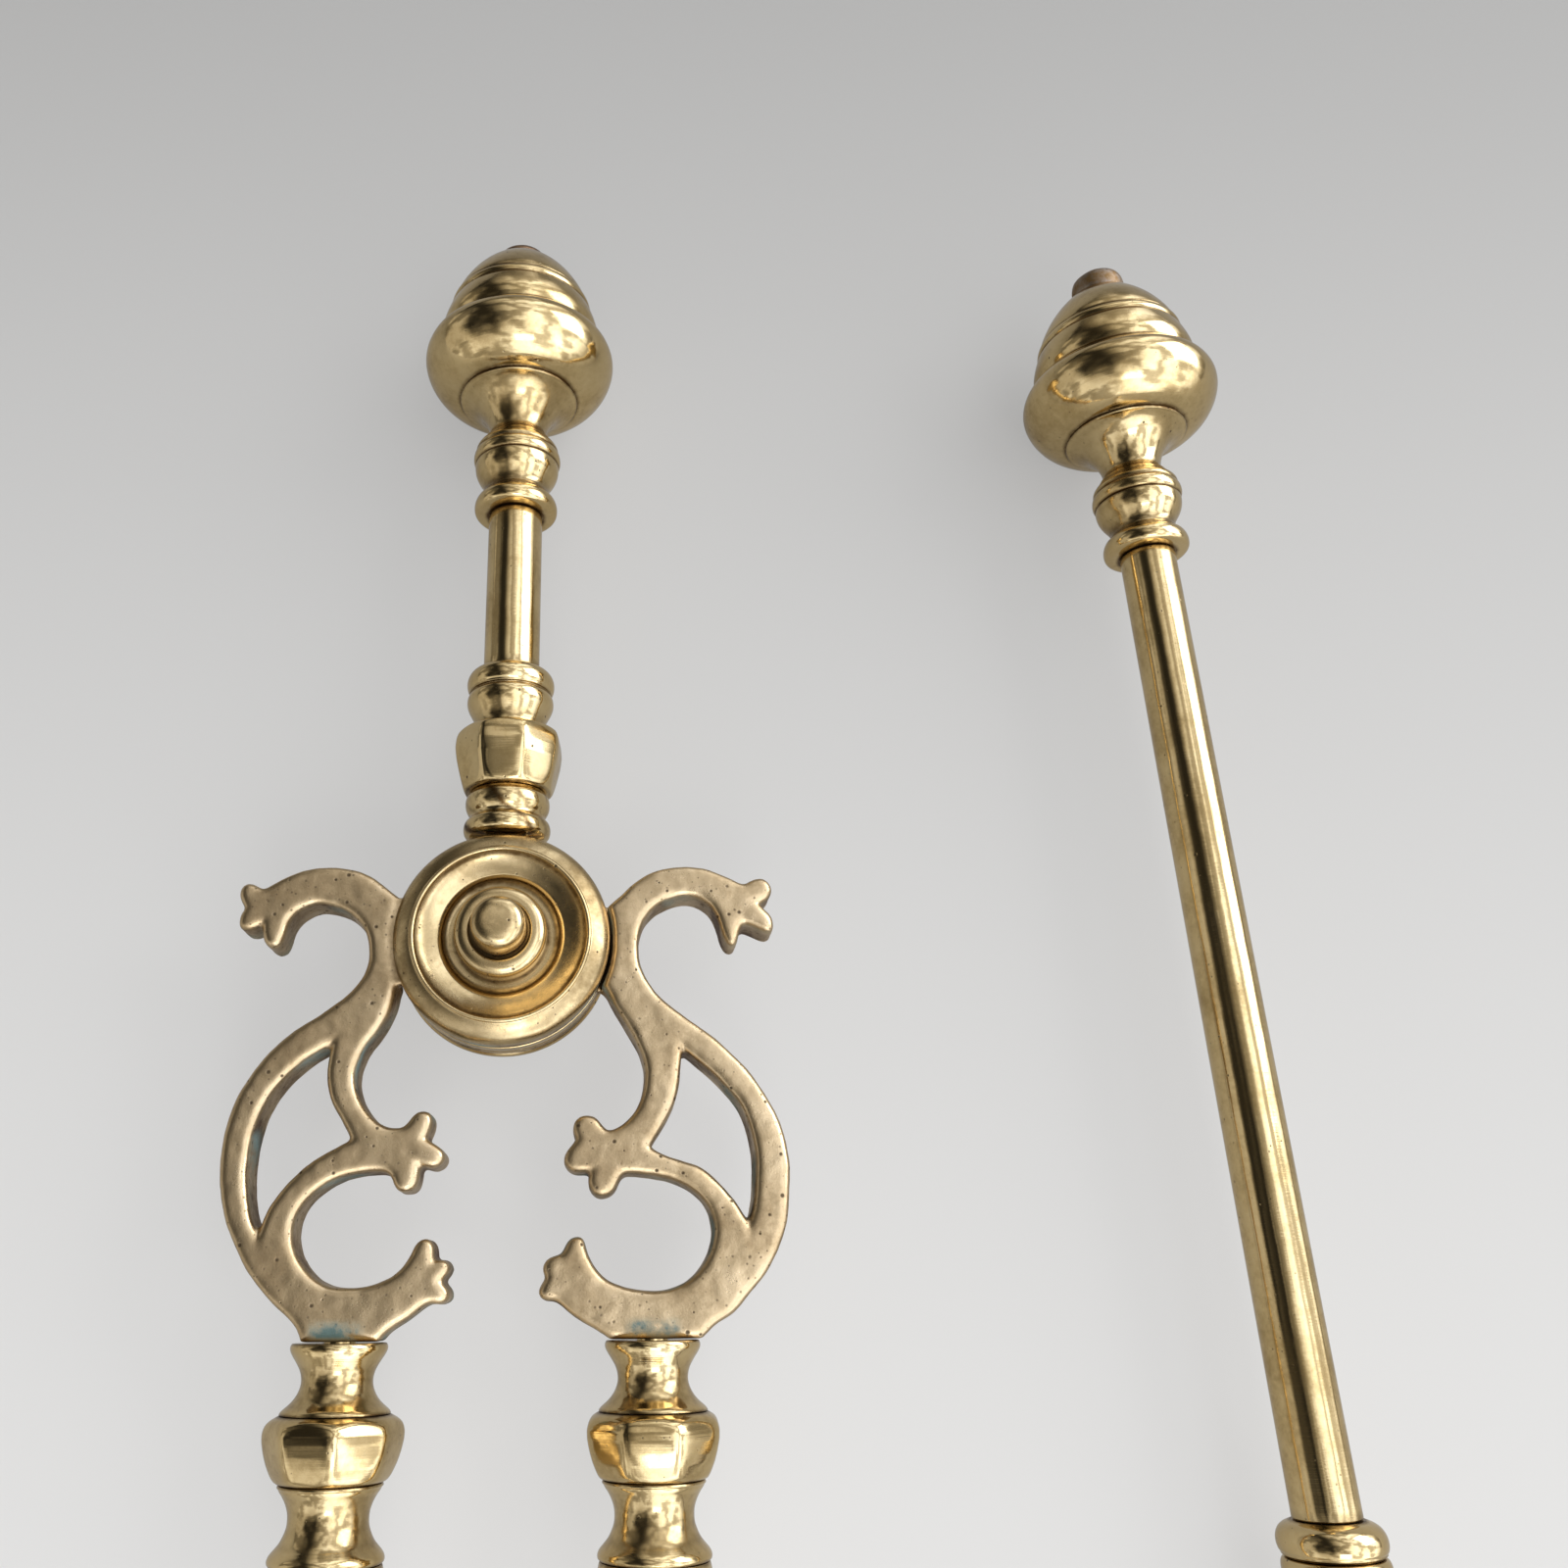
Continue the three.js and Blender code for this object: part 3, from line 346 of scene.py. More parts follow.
# ---- outlines of the two castings, millimetres from the pivot; each run ends in a notch --------
LEFT_RIM = [
    [(-19.1, 8), (-21.6, 10.05), (-23.9, 11.75), (-26.9, 13.1), (-30.4, 13.8), (-33.9, 13.8), (-37.2, 13.1),
     (-40.1, 11.9), (-42.2, 10.7), (-43.9, 9.8), (-44.8, 10.1), (-45.8, 10.6), (-47, 10.6), (-47.9, 9.8),
     (-48.1, 8.6), (-47.7, 7.2), (-47, 6)],
    [(-47, 6), (-47.6, 4.9), (-47.8, 3.6), (-47.5, 2.5), (-46.6, 2), (-45.4, 2), (-43.5, 2.9)],
    [(-43.5, 2.9), (-43.4, 1.8), (-43.2, 0.5), (-42.5, -0.7), (-41.4, -1.3), (-40.4, -1.1), (-39.7, -0.3),
     (-39.2, 1.2), (-38.8, 3), (-37.9, 4.6), (-36.3, 5.9), (-33.9, 6.7), (-31.3, 6.4), (-28.6, 5.4),
     (-26.3, 3.6), (-24.7, 1.2), (-24.1, -1.4), (-24.1, -4.1), (-24.9, -6.7), (-26.6, -9.1), (-29.2, -11.5),
     (-32.2, -13.7), (-35.1, -15.6), (-38, -17.8), (-40.6, -20.4), (-42.9, -23.6), (-45, -27.4), (-46.3, -31.4),
     (-46.9, -35.5), (-47, -39.6), (-46.5, -43.8), (-45.2, -48.3), (-43.4, -52.2), (-41.1, -56), (-38.4, -59.3),
     (-35.8, -61.8), (-33.3, -63.9), (-31.9, -65.5), (-31.1, -67.4)],
    [(-31.1, -67.4), (-18.4, -67.4)],
    [(-18.4, -67.4), (-17.2, -66.1), (-15.7, -65.1), (-13.6, -63.8), (-11.9, -62.5), (-10.4, -61.7),
     (-8.6, -61.8), (-7.4, -61.3), (-7, -60.5), (-7.2, -59.5), (-7.8, -58.8), (-8.5, -58.1)],
    [(-8.5, -58.1), (-7.6, -57.3), (-7.1, -56.2), (-7.6, -55.1), (-8.6, -54.7), (-9.9, -54.9)],
    [(-9.9, -54.9), (-9.8, -53.6), (-10, -52.5), (-10.7, -51.6), (-11.5, -51.4), (-12.5, -51.7), (-13.3, -52.7),
     (-14.1, -54.4), (-15.4, -56.2), (-17.5, -57.7), (-20.4, -58.7), (-23.9, -59.1), (-26.9, -58.8),
     (-29.2, -57.8), (-31.3, -55.9), (-32.9, -53.5), (-33.6, -50.8), (-33.4, -48.2), (-32.3, -45.8),
     (-30.4, -43.8), (-27.8, -42.1), (-24.5, -41), (-21.3, -40.6), (-19.2, -40.6), (-18.2, -41), (-17.6, -41.8),
     (-17.2, -42.8), (-16.5, -43.6), (-15.4, -43.9), (-14.3, -43.7), (-13.4, -42.9), (-13.1, -41.7),
     (-13, -40.5), (-13.1, -39.4)],
    [(-13.1, -39.4), (-12, -39.8), (-10.7, -40), (-9.6, -39.6), (-8.9, -38.8), (-8.8, -37.8), (-9.3, -36.9),
     (-10.4, -36.1), (-12.2, -35.1)],
    [(-12.2, -35.1), (-11.6, -34), (-11.2, -32.7), (-11.2, -31.6), (-11.7, -30.7), (-12.7, -30.3),
     (-13.7, -30.4), (-14.6, -31.1), (-15.4, -32.2), (-16.2, -33), (-17.3, -33.2), (-18.8, -33), (-20.6, -32.2),
     (-22.5, -30.4), (-23.9, -28.3), (-24.8, -25.6), (-24.8, -23.2), (-24.1, -20.8), (-23.1, -18.8),
     (-21.6, -16.8), (-20.3, -14.6), (-19.3, -12.2), (-18.75, -9.5)],
]
RIGHT_RIM = [
    [(18.9, 6.2), (21.3, 8.2), (23.6, 10.5), (26.9, 12.7), (30.3, 13.7), (33.6, 13.95), (36.9, 13.6),
     (39.5, 12.7), (41.9, 11.7), (43.3, 10.9), (44.5, 10.6), (45.6, 11.2), (46.9, 11.6), (48.2, 11.4),
     (49.1, 10.5), (49.4, 9.3), (48.9, 8), (48, 7.2), (47, 6.8)],
    [(47, 6.8), (48.1, 5.6), (49.1, 4.5), (49.5, 3.2), (49.4, 2), (48.8, 1.3), (47.8, 1.35), (46.6, 1.9),
     (45.3, 2.5), (44, 2.9)],
    [(44, 2.9), (43.4, 2), (43, 0.6), (42.6, -0.6), (41.9, -1.25), (40.9, -0.8), (40.1, 0.6), (39.6, 2.4),
     (39, 4.3), (38, 6.1), (36.5, 7.4), (34.8, 8.1), (33.1, 8.2), (30.6, 7.6), (28.2, 6.4), (26.4, 4.5),
     (25.2, 2.1), (24.7, -0.8), (24.9, -3.8), (25.8, -6.4), (27.4, -9.1), (29.5, -11.4), (32.7, -13.9),
     (35.7, -16), (38.6, -18.3), (41.7, -21.2), (44.6, -24.5), (47.1, -28.4), (49, -32.2), (50.1, -36.1),
     (50.5, -40.2), (50.2, -44.3), (49.6, -49.2), (48.2, -53), (46, -56.9), (43, -60.4), (40, -63.5),
     (37, -65.3), (34.7, -67.4)],
    [(34.7, -67.4), (19.5, -67.4)],
    [(19.5, -67.4), (17.4, -66), (15.1, -64.8), (13, -63.4), (11.3, -62), (10.1, -61.4), (8.8, -61.3),
     (7.9, -60.7), (7.6, -59.9), (8, -58.9), (8.7, -57.8)],
    [(8.7, -57.8), (8.2, -56.7), (8.4, -55.6), (9.1, -54.75), (10.3, -54.3), (11.4, -54)],
    [(11.4, -54), (11.9, -52.9), (12.5, -51.9), (13.3, -51.4), (14.3, -51.3), (15, -51.7), (15.4, -52.9),
     (16.1, -54.7), (17.4, -56.7), (19.5, -58.4), (22.7, -59.5), (26.6, -60), (29.8, -59.6), (32.7, -58.3),
     (34.8, -56.3), (36.2, -54), (37, -51.4), (36.9, -49), (36.1, -46.6), (34.2, -44.4), (31.6, -42.8),
     (28.6, -41.8), (25.4, -41.3), (22.9, -41.1), (21.8, -41.3), (21.1, -42.3), (20.4, -43.7), (19.4, -44.6),
     (18, -44.9), (16.8, -44.5), (16, -43.4), (15.8, -42), (16.2, -40.8)],
    [(16.2, -40.8), (15, -40.8), (13.6, -40.8), (12.5, -40.4), (11.7, -39.5), (11.5, -38.5), (11.9, -37.4),
     (12.8, -36.3), (13.6, -35.2)],
    [(13.6, -35.2), (13.1, -34.2), (13.1, -33), (13.6, -32), (14.4, -31.4), (15.5, -31.2), (16.6, -31.4),
     (17.6, -32.1), (18.4, -33.2), (19.3, -33.8), (20.9, -33.3), (22.7, -31.9), (24.2, -29.9), (25.2, -27.3),
     (25.6, -24.6), (25.4, -22.4), (24.7, -20), (23.3, -17.2), (21.6, -14.3), (20, -11.7), (18.9, -9.6)],
]
LEFT_OPENING = [
    [(-29.5, -19), (-33.2, -21.2), (-36.3, -23.8), (-38.6, -26.6), (-40.4, -29.8), (-41.6, -33.8),
     (-42.1, -37.9), (-42, -42), (-41.4, -45.8), (-40.6, -48.4), (-39.5, -50.4)],
    [(-39.5, -50.4), (-38.4, -46.9), (-37.2, -44.8), (-35.6, -42.6), (-33.4, -40.3), (-30.7, -38.3),
     (-27.8, -36.6), (-25, -35.2)],
    [(-25, -35.2), (-27, -31.7), (-28.7, -28.9), (-29.7, -25.8), (-29.9, -22.6), (-29.5, -19)],
]
RIGHT_OPENING = [
    [(32.3, -19.8), (36, -22.9), (39.4, -26.2), (42.3, -29.8), (43.8, -33.8), (44.5, -37.9), (44.4, -42),
     (44, -45.8), (43.1, -49.4)],
    [(43.1, -49.4), (41.5, -46.7), (39.8, -44.4), (37.7, -42.1), (35.1, -40.1), (32.1, -39), (28.9, -38),
     (26.5, -36.7)],
    [(26.5, -36.7), (27.6, -34.9), (29.3, -32.3), (30.8, -29.1), (31.7, -25.8), (32, -22.6), (32.3, -19.8)],
]
LEFT_SEAT, RIGHT_SEAT = (204.5, 157.5), (-26.9, 18.2)


# ---- curves --------------------------------------------------------------------------------
def smooth_run(points, step):
    """Points along a smooth curve through the given points, about one step apart; two points make a straight run."""
    if len(points) == 2:
        a, b = Vector(points[0]), Vector(points[1])
        count = max(1, round((b - a).length / STRAIGHT_STEP))
        return [a.lerp(b, k / count) for k in range(count + 1)]
    ways = [Vector(p) for p in points]
    ahead = []
    for i, here in enumerate(ways):
        before, after = ways[max(i - 1, 0)], ways[min(i + 1, len(ways) - 1)]
        ahead.append((after - before).normalized())
    run = [ways[0]]
    for i in range(len(ways) - 1):
        gap = (ways[i + 1] - ways[i]).length
        count = max(2, math.ceil(gap / step) + 1)
        a, b = ways[i].to_3d(), ways[i + 1].to_3d()
        handles = (a + ahead[i].to_3d() * gap / 3, b - ahead[i + 1].to_3d() * gap / 3)
        run += [p.to_2d() for p in interpolate_bezier(a, handles[0], handles[1], b, count)[1:]]
    return run


def section(profile, step=0.4, ease=0.14):
    """The profile as a fine line: smooth between its crisp corners, which get a small radius."""
    runs, current = [], [profile[0][:2]]
    for point in profile[1:]:
        current.append(point[:2])
        if len(point) == 3:
            runs.append(smooth_run(current, step))
            current = [point[:2]]
    line = [(p, k in (0, len(run) - 1)) for run in runs for k, p in enumerate(run[:-1])]
    line.append((Vector(profile[-1][:2]), True))
    eased = []
    for i, (p, crisp) in enumerate(line):
        if not crisp or p.x < 1e-6 or i in (0, len(line) - 1):
            eased.append(p)
            continue
        a, b = line[i - 1][0] - p, line[i + 1][0] - p
        r = min(ease, 0.45 * a.length, 0.45 * b.length)
        start, end = p + a.normalized() * r, p + b.normalized() * r
        eased += [start, (start + p * 2 + end) / 4, end]
    return eased


# ---- building pieces -------------------------------------------------------------------------
def tongs_place():
    return Matrix.Translation(PIVOT) @ Matrix.Scale(MM, 4)


def poker_place():
    fall = math.asin((BULB_R - SHAFT_R) / (BULB_H - POKER_CONTACT))
    along = Vector((-POKER_LEAN, 1, 0)).normalized() * math.cos(fall)
    along.z = math.sin(fall)
    across = Vector((along.y, -along.x, 0)).normalized()
    top = across.cross(along)
    at = Vector((POKER_AT[0] - along.x * POKER_SEAT, POKER_AT[1] - along.y * POKER_SEAT,
                 BULB_R * (math.cos(fall) - 1) - along.z * BULB_H))
    turn = Matrix((across, along, top)).transposed().to_4x4()
    return Matrix.Translation(PIVOT) @ Matrix.Scale(MM, 4) @ Matrix.Translation(at) @ turn


def hollows(line, closed):
    """How far each point of a profile sits in a recess (positive) or on an edge (negative)."""
    count = len(line)
    area = sum(line[i].x * line[(i + 1) % count].y - line[(i + 1) % count].x * line[i].y for i in range(count))
    way = 1 if area > 0 else -1
    reach, marks = 0.8, []
    for i, p in enumerate(line):
        ends = []
        for direction in (-1, 1):
            gone, k, q = 0.0, i, p
            while gone < reach:
                j = k + direction
                if not closed and not 0 <= j < count:
                    break
                j %= count
                length = (line[j] - q).length
                if length and gone + length > reach:
                    q = q + (line[j] - q) * (reach - gone) / length
                    gone = reach
                    break
                gone, k, q = gone + length, j, line[j]
            ends.append(q)
        a, b = p - ends[0], ends[1] - p
        bend = 0.0 if a.length < 1e-6 or b.length < 1e-6 else math.atan2(a.cross(b), a.dot(b))
        marks.append(-bend * way)
    return marks


def finish(name, bm, material, body, nodes, place, marks=None):
    """Writes the bmesh as a piece: places it, smooths its shading, rides and replaces."""
    bmesh.ops.transform(bm, matrix=place, verts=bm.verts)
    if place.determinant() < 0:
        bmesh.ops.reverse_faces(bm, faces=bm.faces)
    for face in bm.faces:
        face.smooth = True
    for edge in bm.edges:
        edge.smooth = len(edge.link_faces) == 2 and edge.calc_face_angle(0.0) < math.radians(40)
    mesh = bpy.data.meshes.new(name)
    bm.to_mesh(mesh)
    bm.free()
    for label, values in (marks or {}).items():
        mesh.attributes.new(label, "FLOAT", "POINT").data.foreach_set("value", values)
    mesh.materials.append(material)
    piece = bpy.data.objects.new(name, mesh)
    bpy.context.scene.collection.objects.link(piece)
    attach(piece, body)
    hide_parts(*nodes)
    return piece


def line_marks(bm, line, closed, seams):
    """Patina and rubbed values for each vertex of a turned piece still on its own axis."""
    bends = hollows(line, closed)
    tree = kdtree.KDTree(len(line))
    for i, p in enumerate(line):
        tree.insert((p.x, p.y, 0), i)
    tree.balance()
    patina_and_shade, rubbed = [], []
    for v in bm.verts:
        r, h = math.hypot(v.co.x, v.co.z), v.co.y
        bend = bends[tree.find((r, h, 0))[1]]
        deep = max(0.0, min(1.0, bend / 0.9))
        for sr, sh in seams:
            deep = max(deep, 1.0 - math.hypot(r - sr, h - sh) / 0.75)
        patina_and_shade.append(deep)
        rubbed.append(max(0.0, min(1.0, -bend / 1.6)) * (1 - deep))
    return {"patina_and_shade": patina_and_shade, "rubbed": rubbed}


AXIS_TURN = {
    "y": Matrix.Identity(4),
    "z": Matrix.Rotation(math.radians(90), 4, "X"),
    "x": Matrix.Rotation(math.radians(-90), 4, "Z"),
}


def turn(profile, steps=96, step=0.4, ease=0.14):
    """A bmesh spun round Y from a profile, and the fine line it was spun from."""
    line = section(profile, step, ease)
    closed = profile[0][0] > 1e-6
    bm = bmesh.new()
    points = [bm.verts.new((p.x, p.y, 0)) for p in line]
    edges = [bm.edges.new(pair) for pair in zip(points, points[1:])]
    if closed:
        edges.append(bm.edges.new((points[-1], points[0])))
    bmesh.ops.spin(bm, geom=points + edges, cent=(0, 0, 0), axis=(0, 1, 0), angle=2 * math.pi, steps=steps, use_merge=True)
    bmesh.ops.remove_doubles(bm, verts=bm.verts, dist=1e-4)
    bmesh.ops.recalc_face_normals(bm, faces=bm.faces)
    return bm, line, closed


def turned(name, profile, body, place, material=None, axis="y", steps=96, step=0.4, seams=(),
           flats=None, face=0.0, shift=(0, 0, 0), hammer=0.0, ease=0.14, darken_zone=None):
    bm, line, closed = turn(profile, steps, step, ease)
    marks = line_marks(bm, line, closed, seams)
    if darken_zone:
        inside, above, depth = darken_zone
        marks["patina_and_shade"] = [
            max(depth, deep) if v.co.y > above and math.hypot(v.co.x, v.co.z) > inside else deep
            for v, deep in zip(bm.verts, marks["patina_and_shade"])]
    if flats:
        file_flats(bm, flats, face, marks)
    if hammer:
        for v in bm.verts:
            v.co += v.normal * hammer * noise.noise(v.co * 0.3)
    at = place @ Matrix.Translation(Vector(shift)) @ AXIS_TURN[axis]
    return finish(name, bm, material or BRASS, body, [name], at, marks)


def file_flats(bm, flats, face, marks):
    """Files eight flats on a round knop, with soft corners where they meet."""
    eighth = math.pi / 4
    for v in bm.verts:
        r = math.hypot(v.co.x, v.co.z)
        if r < 5:
            continue
        h = v.co.y
        for (h0, f0), (h1, f1) in zip(flats, flats[1:]):
            if h <= h1 or (h1, f1) == flats[-1]:
                flat = f0 + (f1 - f0) * max(0.0, min(1.0, (h - h0) / (h1 - h0)))
                break
        angle = math.atan2(v.co.z, v.co.x) - face
        off = (angle + eighth / 2) % eighth - eighth / 2
        limit = flat / math.cos(off)
        soft = 0.22
        kept = -soft * math.log(math.exp(-r / soft) + math.exp(-limit / soft))
        v.co.x *= kept / r
        v.co.z *= kept / r
        if r > limit:
            marks["rubbed"][v.index] = max(0.0, 1 - abs(abs(off) - eighth / 2) * flat / 0.9) * 0.9


# ---- the cast arms ---------------------------------------------------------------------------
def outline_of(runs, step=0.35):
    line = []
    for run in runs:
        line += [tuple(p) for p in smooth_run(run, step)[:-1]]
    return line + [runs[-1][-1]]


def flat_curve(name, loops, half, bevel):
    """A flat filled curve with rounded edges, made a mesh; loops of 2-D points in millimetres."""
    data = bpy.data.curves.new(name, "CURVE")
    data.dimensions, data.fill_mode = "2D", "BOTH"
    data.extrude, data.bevel_depth, data.bevel_resolution = half - bevel, bevel, 2
    data.offset = -bevel
    for loop in loops:
        spline = data.splines.new("POLY")
        spline.points.add(len(loop) - 1)
        for point, (x, y) in zip(spline.points, loop):
            point.co = (x, y, 0, 1)
        spline.use_cyclic_u = True
    holder = bpy.data.objects.new(name, data)
    bpy.context.scene.collection.objects.link(holder)
    bpy.context.view_layer.update()
    mesh = bpy.data.meshes.new_from_object(holder.evaluated_get(bpy.context.evaluated_depsgraph_get()))
    bpy.data.objects.remove(holder)
    bpy.data.curves.remove(data)
    return mesh


def circle(radius, count=96, start=0.0, end=360.0):
    turns_ = [math.radians(start + (end - start) * k / count) for k in range(count + (abs(end - start) < 360))]
    return [(radius * math.cos(a), radius * math.sin(a)) for a in turns_]


def cast_arm(side):
    name, rim_runs, opening, seat = (
        ("left_arm", LEFT_RIM, LEFT_OPENING, LEFT_SEAT) if side < 0 else ("right_arm", RIGHT_RIM, RIGHT_OPENING, RIGHT_SEAT))
    rim = outline_of(rim_runs) + circle(CLEAR_R, 30, *seat)[1:-1]
    body = flat_curve("arm_body", [rim, outline_of(opening)[:-1]], ARM_HALF, ARM_EDGE)
    eye_line = circle(EYE_R)
    eye = flat_curve("arm_eye", [eye_line, circle(EYE_BORE_R, 48)], (EYE_LAYER[1] - EYE_LAYER[0]) / 2, 0.2)
    tab_line = [(side * x, y) for x, y in ((22.3, 7.0), (14, 9), (14, -9), (21.9, -7.4))]
    tab = flat_curve("arm_tab", [tab_line], (EYE_LAYER[1] - EYE_LAYER[0]) / 2, 0.2)
    bm = bmesh.new()
    layer = -side * (EYE_LAYER[0] + EYE_LAYER[1]) / 2
    for mesh, lift in ((body, 0.0), (eye, layer), (tab, layer)):
        first = len(bm.verts)
        bm.from_mesh(mesh)
        bm.verts.ensure_lookup_table()
        bmesh.ops.translate(bm, verts=bm.verts[first:], vec=(0, 0, lift))
        bpy.data.meshes.remove(mesh)
    raw = bpy.data.meshes.new("arm_raw")
    bm.to_mesh(raw)
    bm.free()
    holder = bpy.data.objects.new("arm_raw", raw)
    bpy.context.scene.collection.objects.link(holder)
    cast = holder.modifiers.new("cast", "REMESH")
    cast.mode, cast.voxel_size, cast.use_smooth_shade = "VOXEL", 0.42, True
    worn = holder.modifiers.new("worn", "SMOOTH")
    worn.factor, worn.iterations = 0.5, 4
    bpy.context.view_layer.update()
    made = bpy.data.meshes.new_from_object(holder.evaluated_get(bpy.context.evaluated_depsgraph_get()))
    bpy.data.objects.remove(holder)
    bm = bmesh.new()
    bm.from_mesh(made)
    bm.normal_update()
    for v in bm.verts:
        if math.hypot(v.co.x, v.co.y) > CLEAR_R + 0.3 and v.co.y > FOOT_Y + 1:
            v.co += v.normal * 0.10 * (noise.noise(v.co * 0.22) + 0.5 * noise.noise(v.co * 0.6))
    bend = [sum(((e.other_vert(v).co - v.co).dot(v.normal) for e in v.link_edges), 0.0) / max(1, len(v.link_edges))
            for v in bm.verts]
    bm.verts.index_update()
    for _ in range(6):
        bend = [0.5 * bend[v.index] + 0.5 * sum(bend[e.other_vert(v).index] for e in v.link_edges) / len(v.link_edges)
                for v in bm.verts]
    foot = LEG_X[0] if side < 0 else LEG_X[1]
    green = []
    for v in bm.verts:
        near = max(0.0, 1 - abs(v.co.y - FOOT_Y - 1.6) / 2.0)
        inside = max(0.0, 1 - max(0.0, abs(v.co.x - foot) - 3.0) / 2.0)
        green.append(min(1.0, near * inside * (1.6 if abs(v.co.z) > 3.0 else 0.4)))
    marks = {"patina_and_shade": [], "rubbed": [], "verdigris": []}
    for v, b, foot_green in zip(bm.verts, bend, green):
        # Painted shade: side walls are given brown by how far they turn from the flat faces, with noise, on top of the
        # real patina in the creases.
        wall = max(0.0, min(1.0, (0.62 - abs(v.normal.z)) / 0.4))
        shade = wall * (0.55 + 0.5 * noise.noise(v.co * 0.16))
        marks["patina_and_shade"].append(max(0.0, min(1.0, max(b * 30 - 0.1, shade))))
        marks["rubbed"].append(max(0.0, min(1.0, -b * 20 - 0.1)))
        spots = wall * max(0.0, min(0.8, 2.2 * noise.noise(v.co * 0.11 + Vector((7, 3, 1))) - 0.25))
        marks["verdigris"].append(max(foot_green, spots))
    body_name = "left_leg" if side < 0 else "right_leg"
    return finish(name, bm, CAST, body_name, [name], tongs_place(), marks)


# ---- rods ------------------------------------------------------------------------------------
def leg_rod(side):
    """The spigot, the plain rod, the crank and the rivet end, drawn on from ring to ring."""
    x = LEG_X[0] if side < 0 else LEG_X[1]
    shoulder, bend_y = -113.5, PAD_Y + CRANK_R
    bm = bmesh.new()
    flat = Matrix.Translation((x, FOOT_Y + 5.4, 0)) @ Matrix.Rotation(math.radians(90), 4, "X")
    ring = bmesh.ops.create_circle(bm, cap_ends=True, segments=64, radius=SPIGOT_R, matrix=flat)["verts"]
    edges = list({e for v in ring for e in v.link_edges if len(e.link_faces) == 1})

    def draw(to, scale=1.0):
        nonlocal edges
        grown = bmesh.ops.extrude_edge_only(bm, edges=edges)["geom"]
        verts = [g for g in grown if isinstance(g, bmesh.types.BMVert)]
        centre = sum((v.co for v in verts), Vector()) / len(verts)
        bmesh.ops.scale(bm, vec=(scale,) * 3, space=Matrix.Translation(-centre), verts=verts)
        bmesh.ops.translate(bm, verts=verts, vec=Vector(to) - centre)
        edges = [g for g in grown if isinstance(g, bmesh.types.BMEdge)]

    draw((x, shoulder, 0))
    draw((x, shoulder, 0), (ROD_R - 0.2) / SPIGOT_R)
    draw((x, shoulder - 0.2, 0), ROD_R / (ROD_R - 0.2))
    for k in range(1, ROD_RINGS + 1):
        draw((x, shoulder - 0.2 + (bend_y - shoulder + 0.2) * k / ROD_RINGS, 0))
    centre = (x - side * CRANK_R, bend_y, 0)
    swept = bmesh.ops.spin(bm, geom=edges, cent=centre, axis=(0, 0, -side), angle=math.pi / 2, steps=24)["geom_last"]
    edges = [g for g in swept if isinstance(g, bmesh.types.BMEdge)]
    hub = side * (PAD_GAP + 9.0)
    draw((hub + side * 0.2, PAD_Y, 0))
    draw((hub, PAD_Y, 0), (ROD_R - 0.2) / ROD_R)
    draw((hub, PAD_Y, 0), SPIGOT_R / (ROD_R - 0.2))
    draw((side * (PAD_GAP + 0.3), PAD_Y, 0))
    bmesh.ops.contextual_create(bm, geom=edges)
    bmesh.ops.recalc_face_normals(bm, faces=bm.faces)
    marks = {"patina_and_shade": [], "rubbed": []}
    for v in bm.verts:
        seam = max(1 - abs(v.co.y - shoulder) / 1.2, 1 - abs(abs(v.co.x) - PAD_GAP - 9.2) / 1.0 if v.co.y < PAD_Y + 8 else 0)
        marks["patina_and_shade"].append(max(0.0, min(1.0, seam)))
        marks["rubbed"].append(0.0)
    name, body = ("left_leg_rod", "left_leg") if side < 0 else ("right_leg_rod", "right_leg")
    return finish(name, bm, BRASS, body, [name], tongs_place(), marks)


def tube(low, high):
    return [(2.9, low, 1), (5.3, low, 1), (5.5, low + 0.2, 1), (5.5, high - 0.2, 1), (5.3, high, 1), (2.9, high, 1)]


def lowered(profile, by):
    return [(p[0], p[1] - by, *p[2:]) for p in profile]


def tongs_handle():
    at = tongs_place()
    tang = [(0.0, 23.4, 1), (2.6, 23.4, 1), (2.6, 156.1, 1)] + LOW_BUTTON
    turned("tongs_tang", tang, "tongs", at, IRON, steps=64, hammer=0.12)
    turned("tongs_finial_bulb", BULB, "tongs", at, steps=128, seams=BULB_LINES)
    turned("tongs_finial_neck", NECK, "tongs", at, seams=NECK_LINES)
    turned("tongs_handle_tube", tube(55.4, 90.8), "tongs", at, seams=[(5.5, 55.4), (5.5, 90.8)])
    turned("tongs_handle_ring", RING, "tongs", at, seams=[(7.8, 50.0), (5.7, 55.3)])
    turned("tongs_handle_vase", VASE, "tongs", at, seams=[(8.0, 49.9), (6.9, 42.3)])
    turned("tongs_handle_octagon", OCTAGON, "tongs", at, steps=160, flats=OCTAGON_FLATS, face=1.63,
           seams=[(8.0, 29.3), (7.0, 42.4)])
    boss_neck(at)
    # The front cap's outer slope, beyond r 16.3, is made darker and browner by raising its patina mark.
    turned("boss_front_cap", FRONT_CAP, "tongs", at, SATIN, axis="z", steps=160, seams=[(8.4, 6.1), (15.0, 8.8)],
           darken_zone=(16.3, 4.7, 0.34))
    turned("boss_rear_cap", REAR_CAP, "tongs", at, SATIN, axis="z", steps=128)
    turned("pivot_collar", COLLAR, "tongs", at, SATIN, axis="z", seams=[(8.4, 6.2), (5.0, 11.3)])
    turned("pivot_pin", PIN, "tongs", at, SATIN, axis="z", steps=96, seams=[(4.9, 11.6)], hammer=0.09)


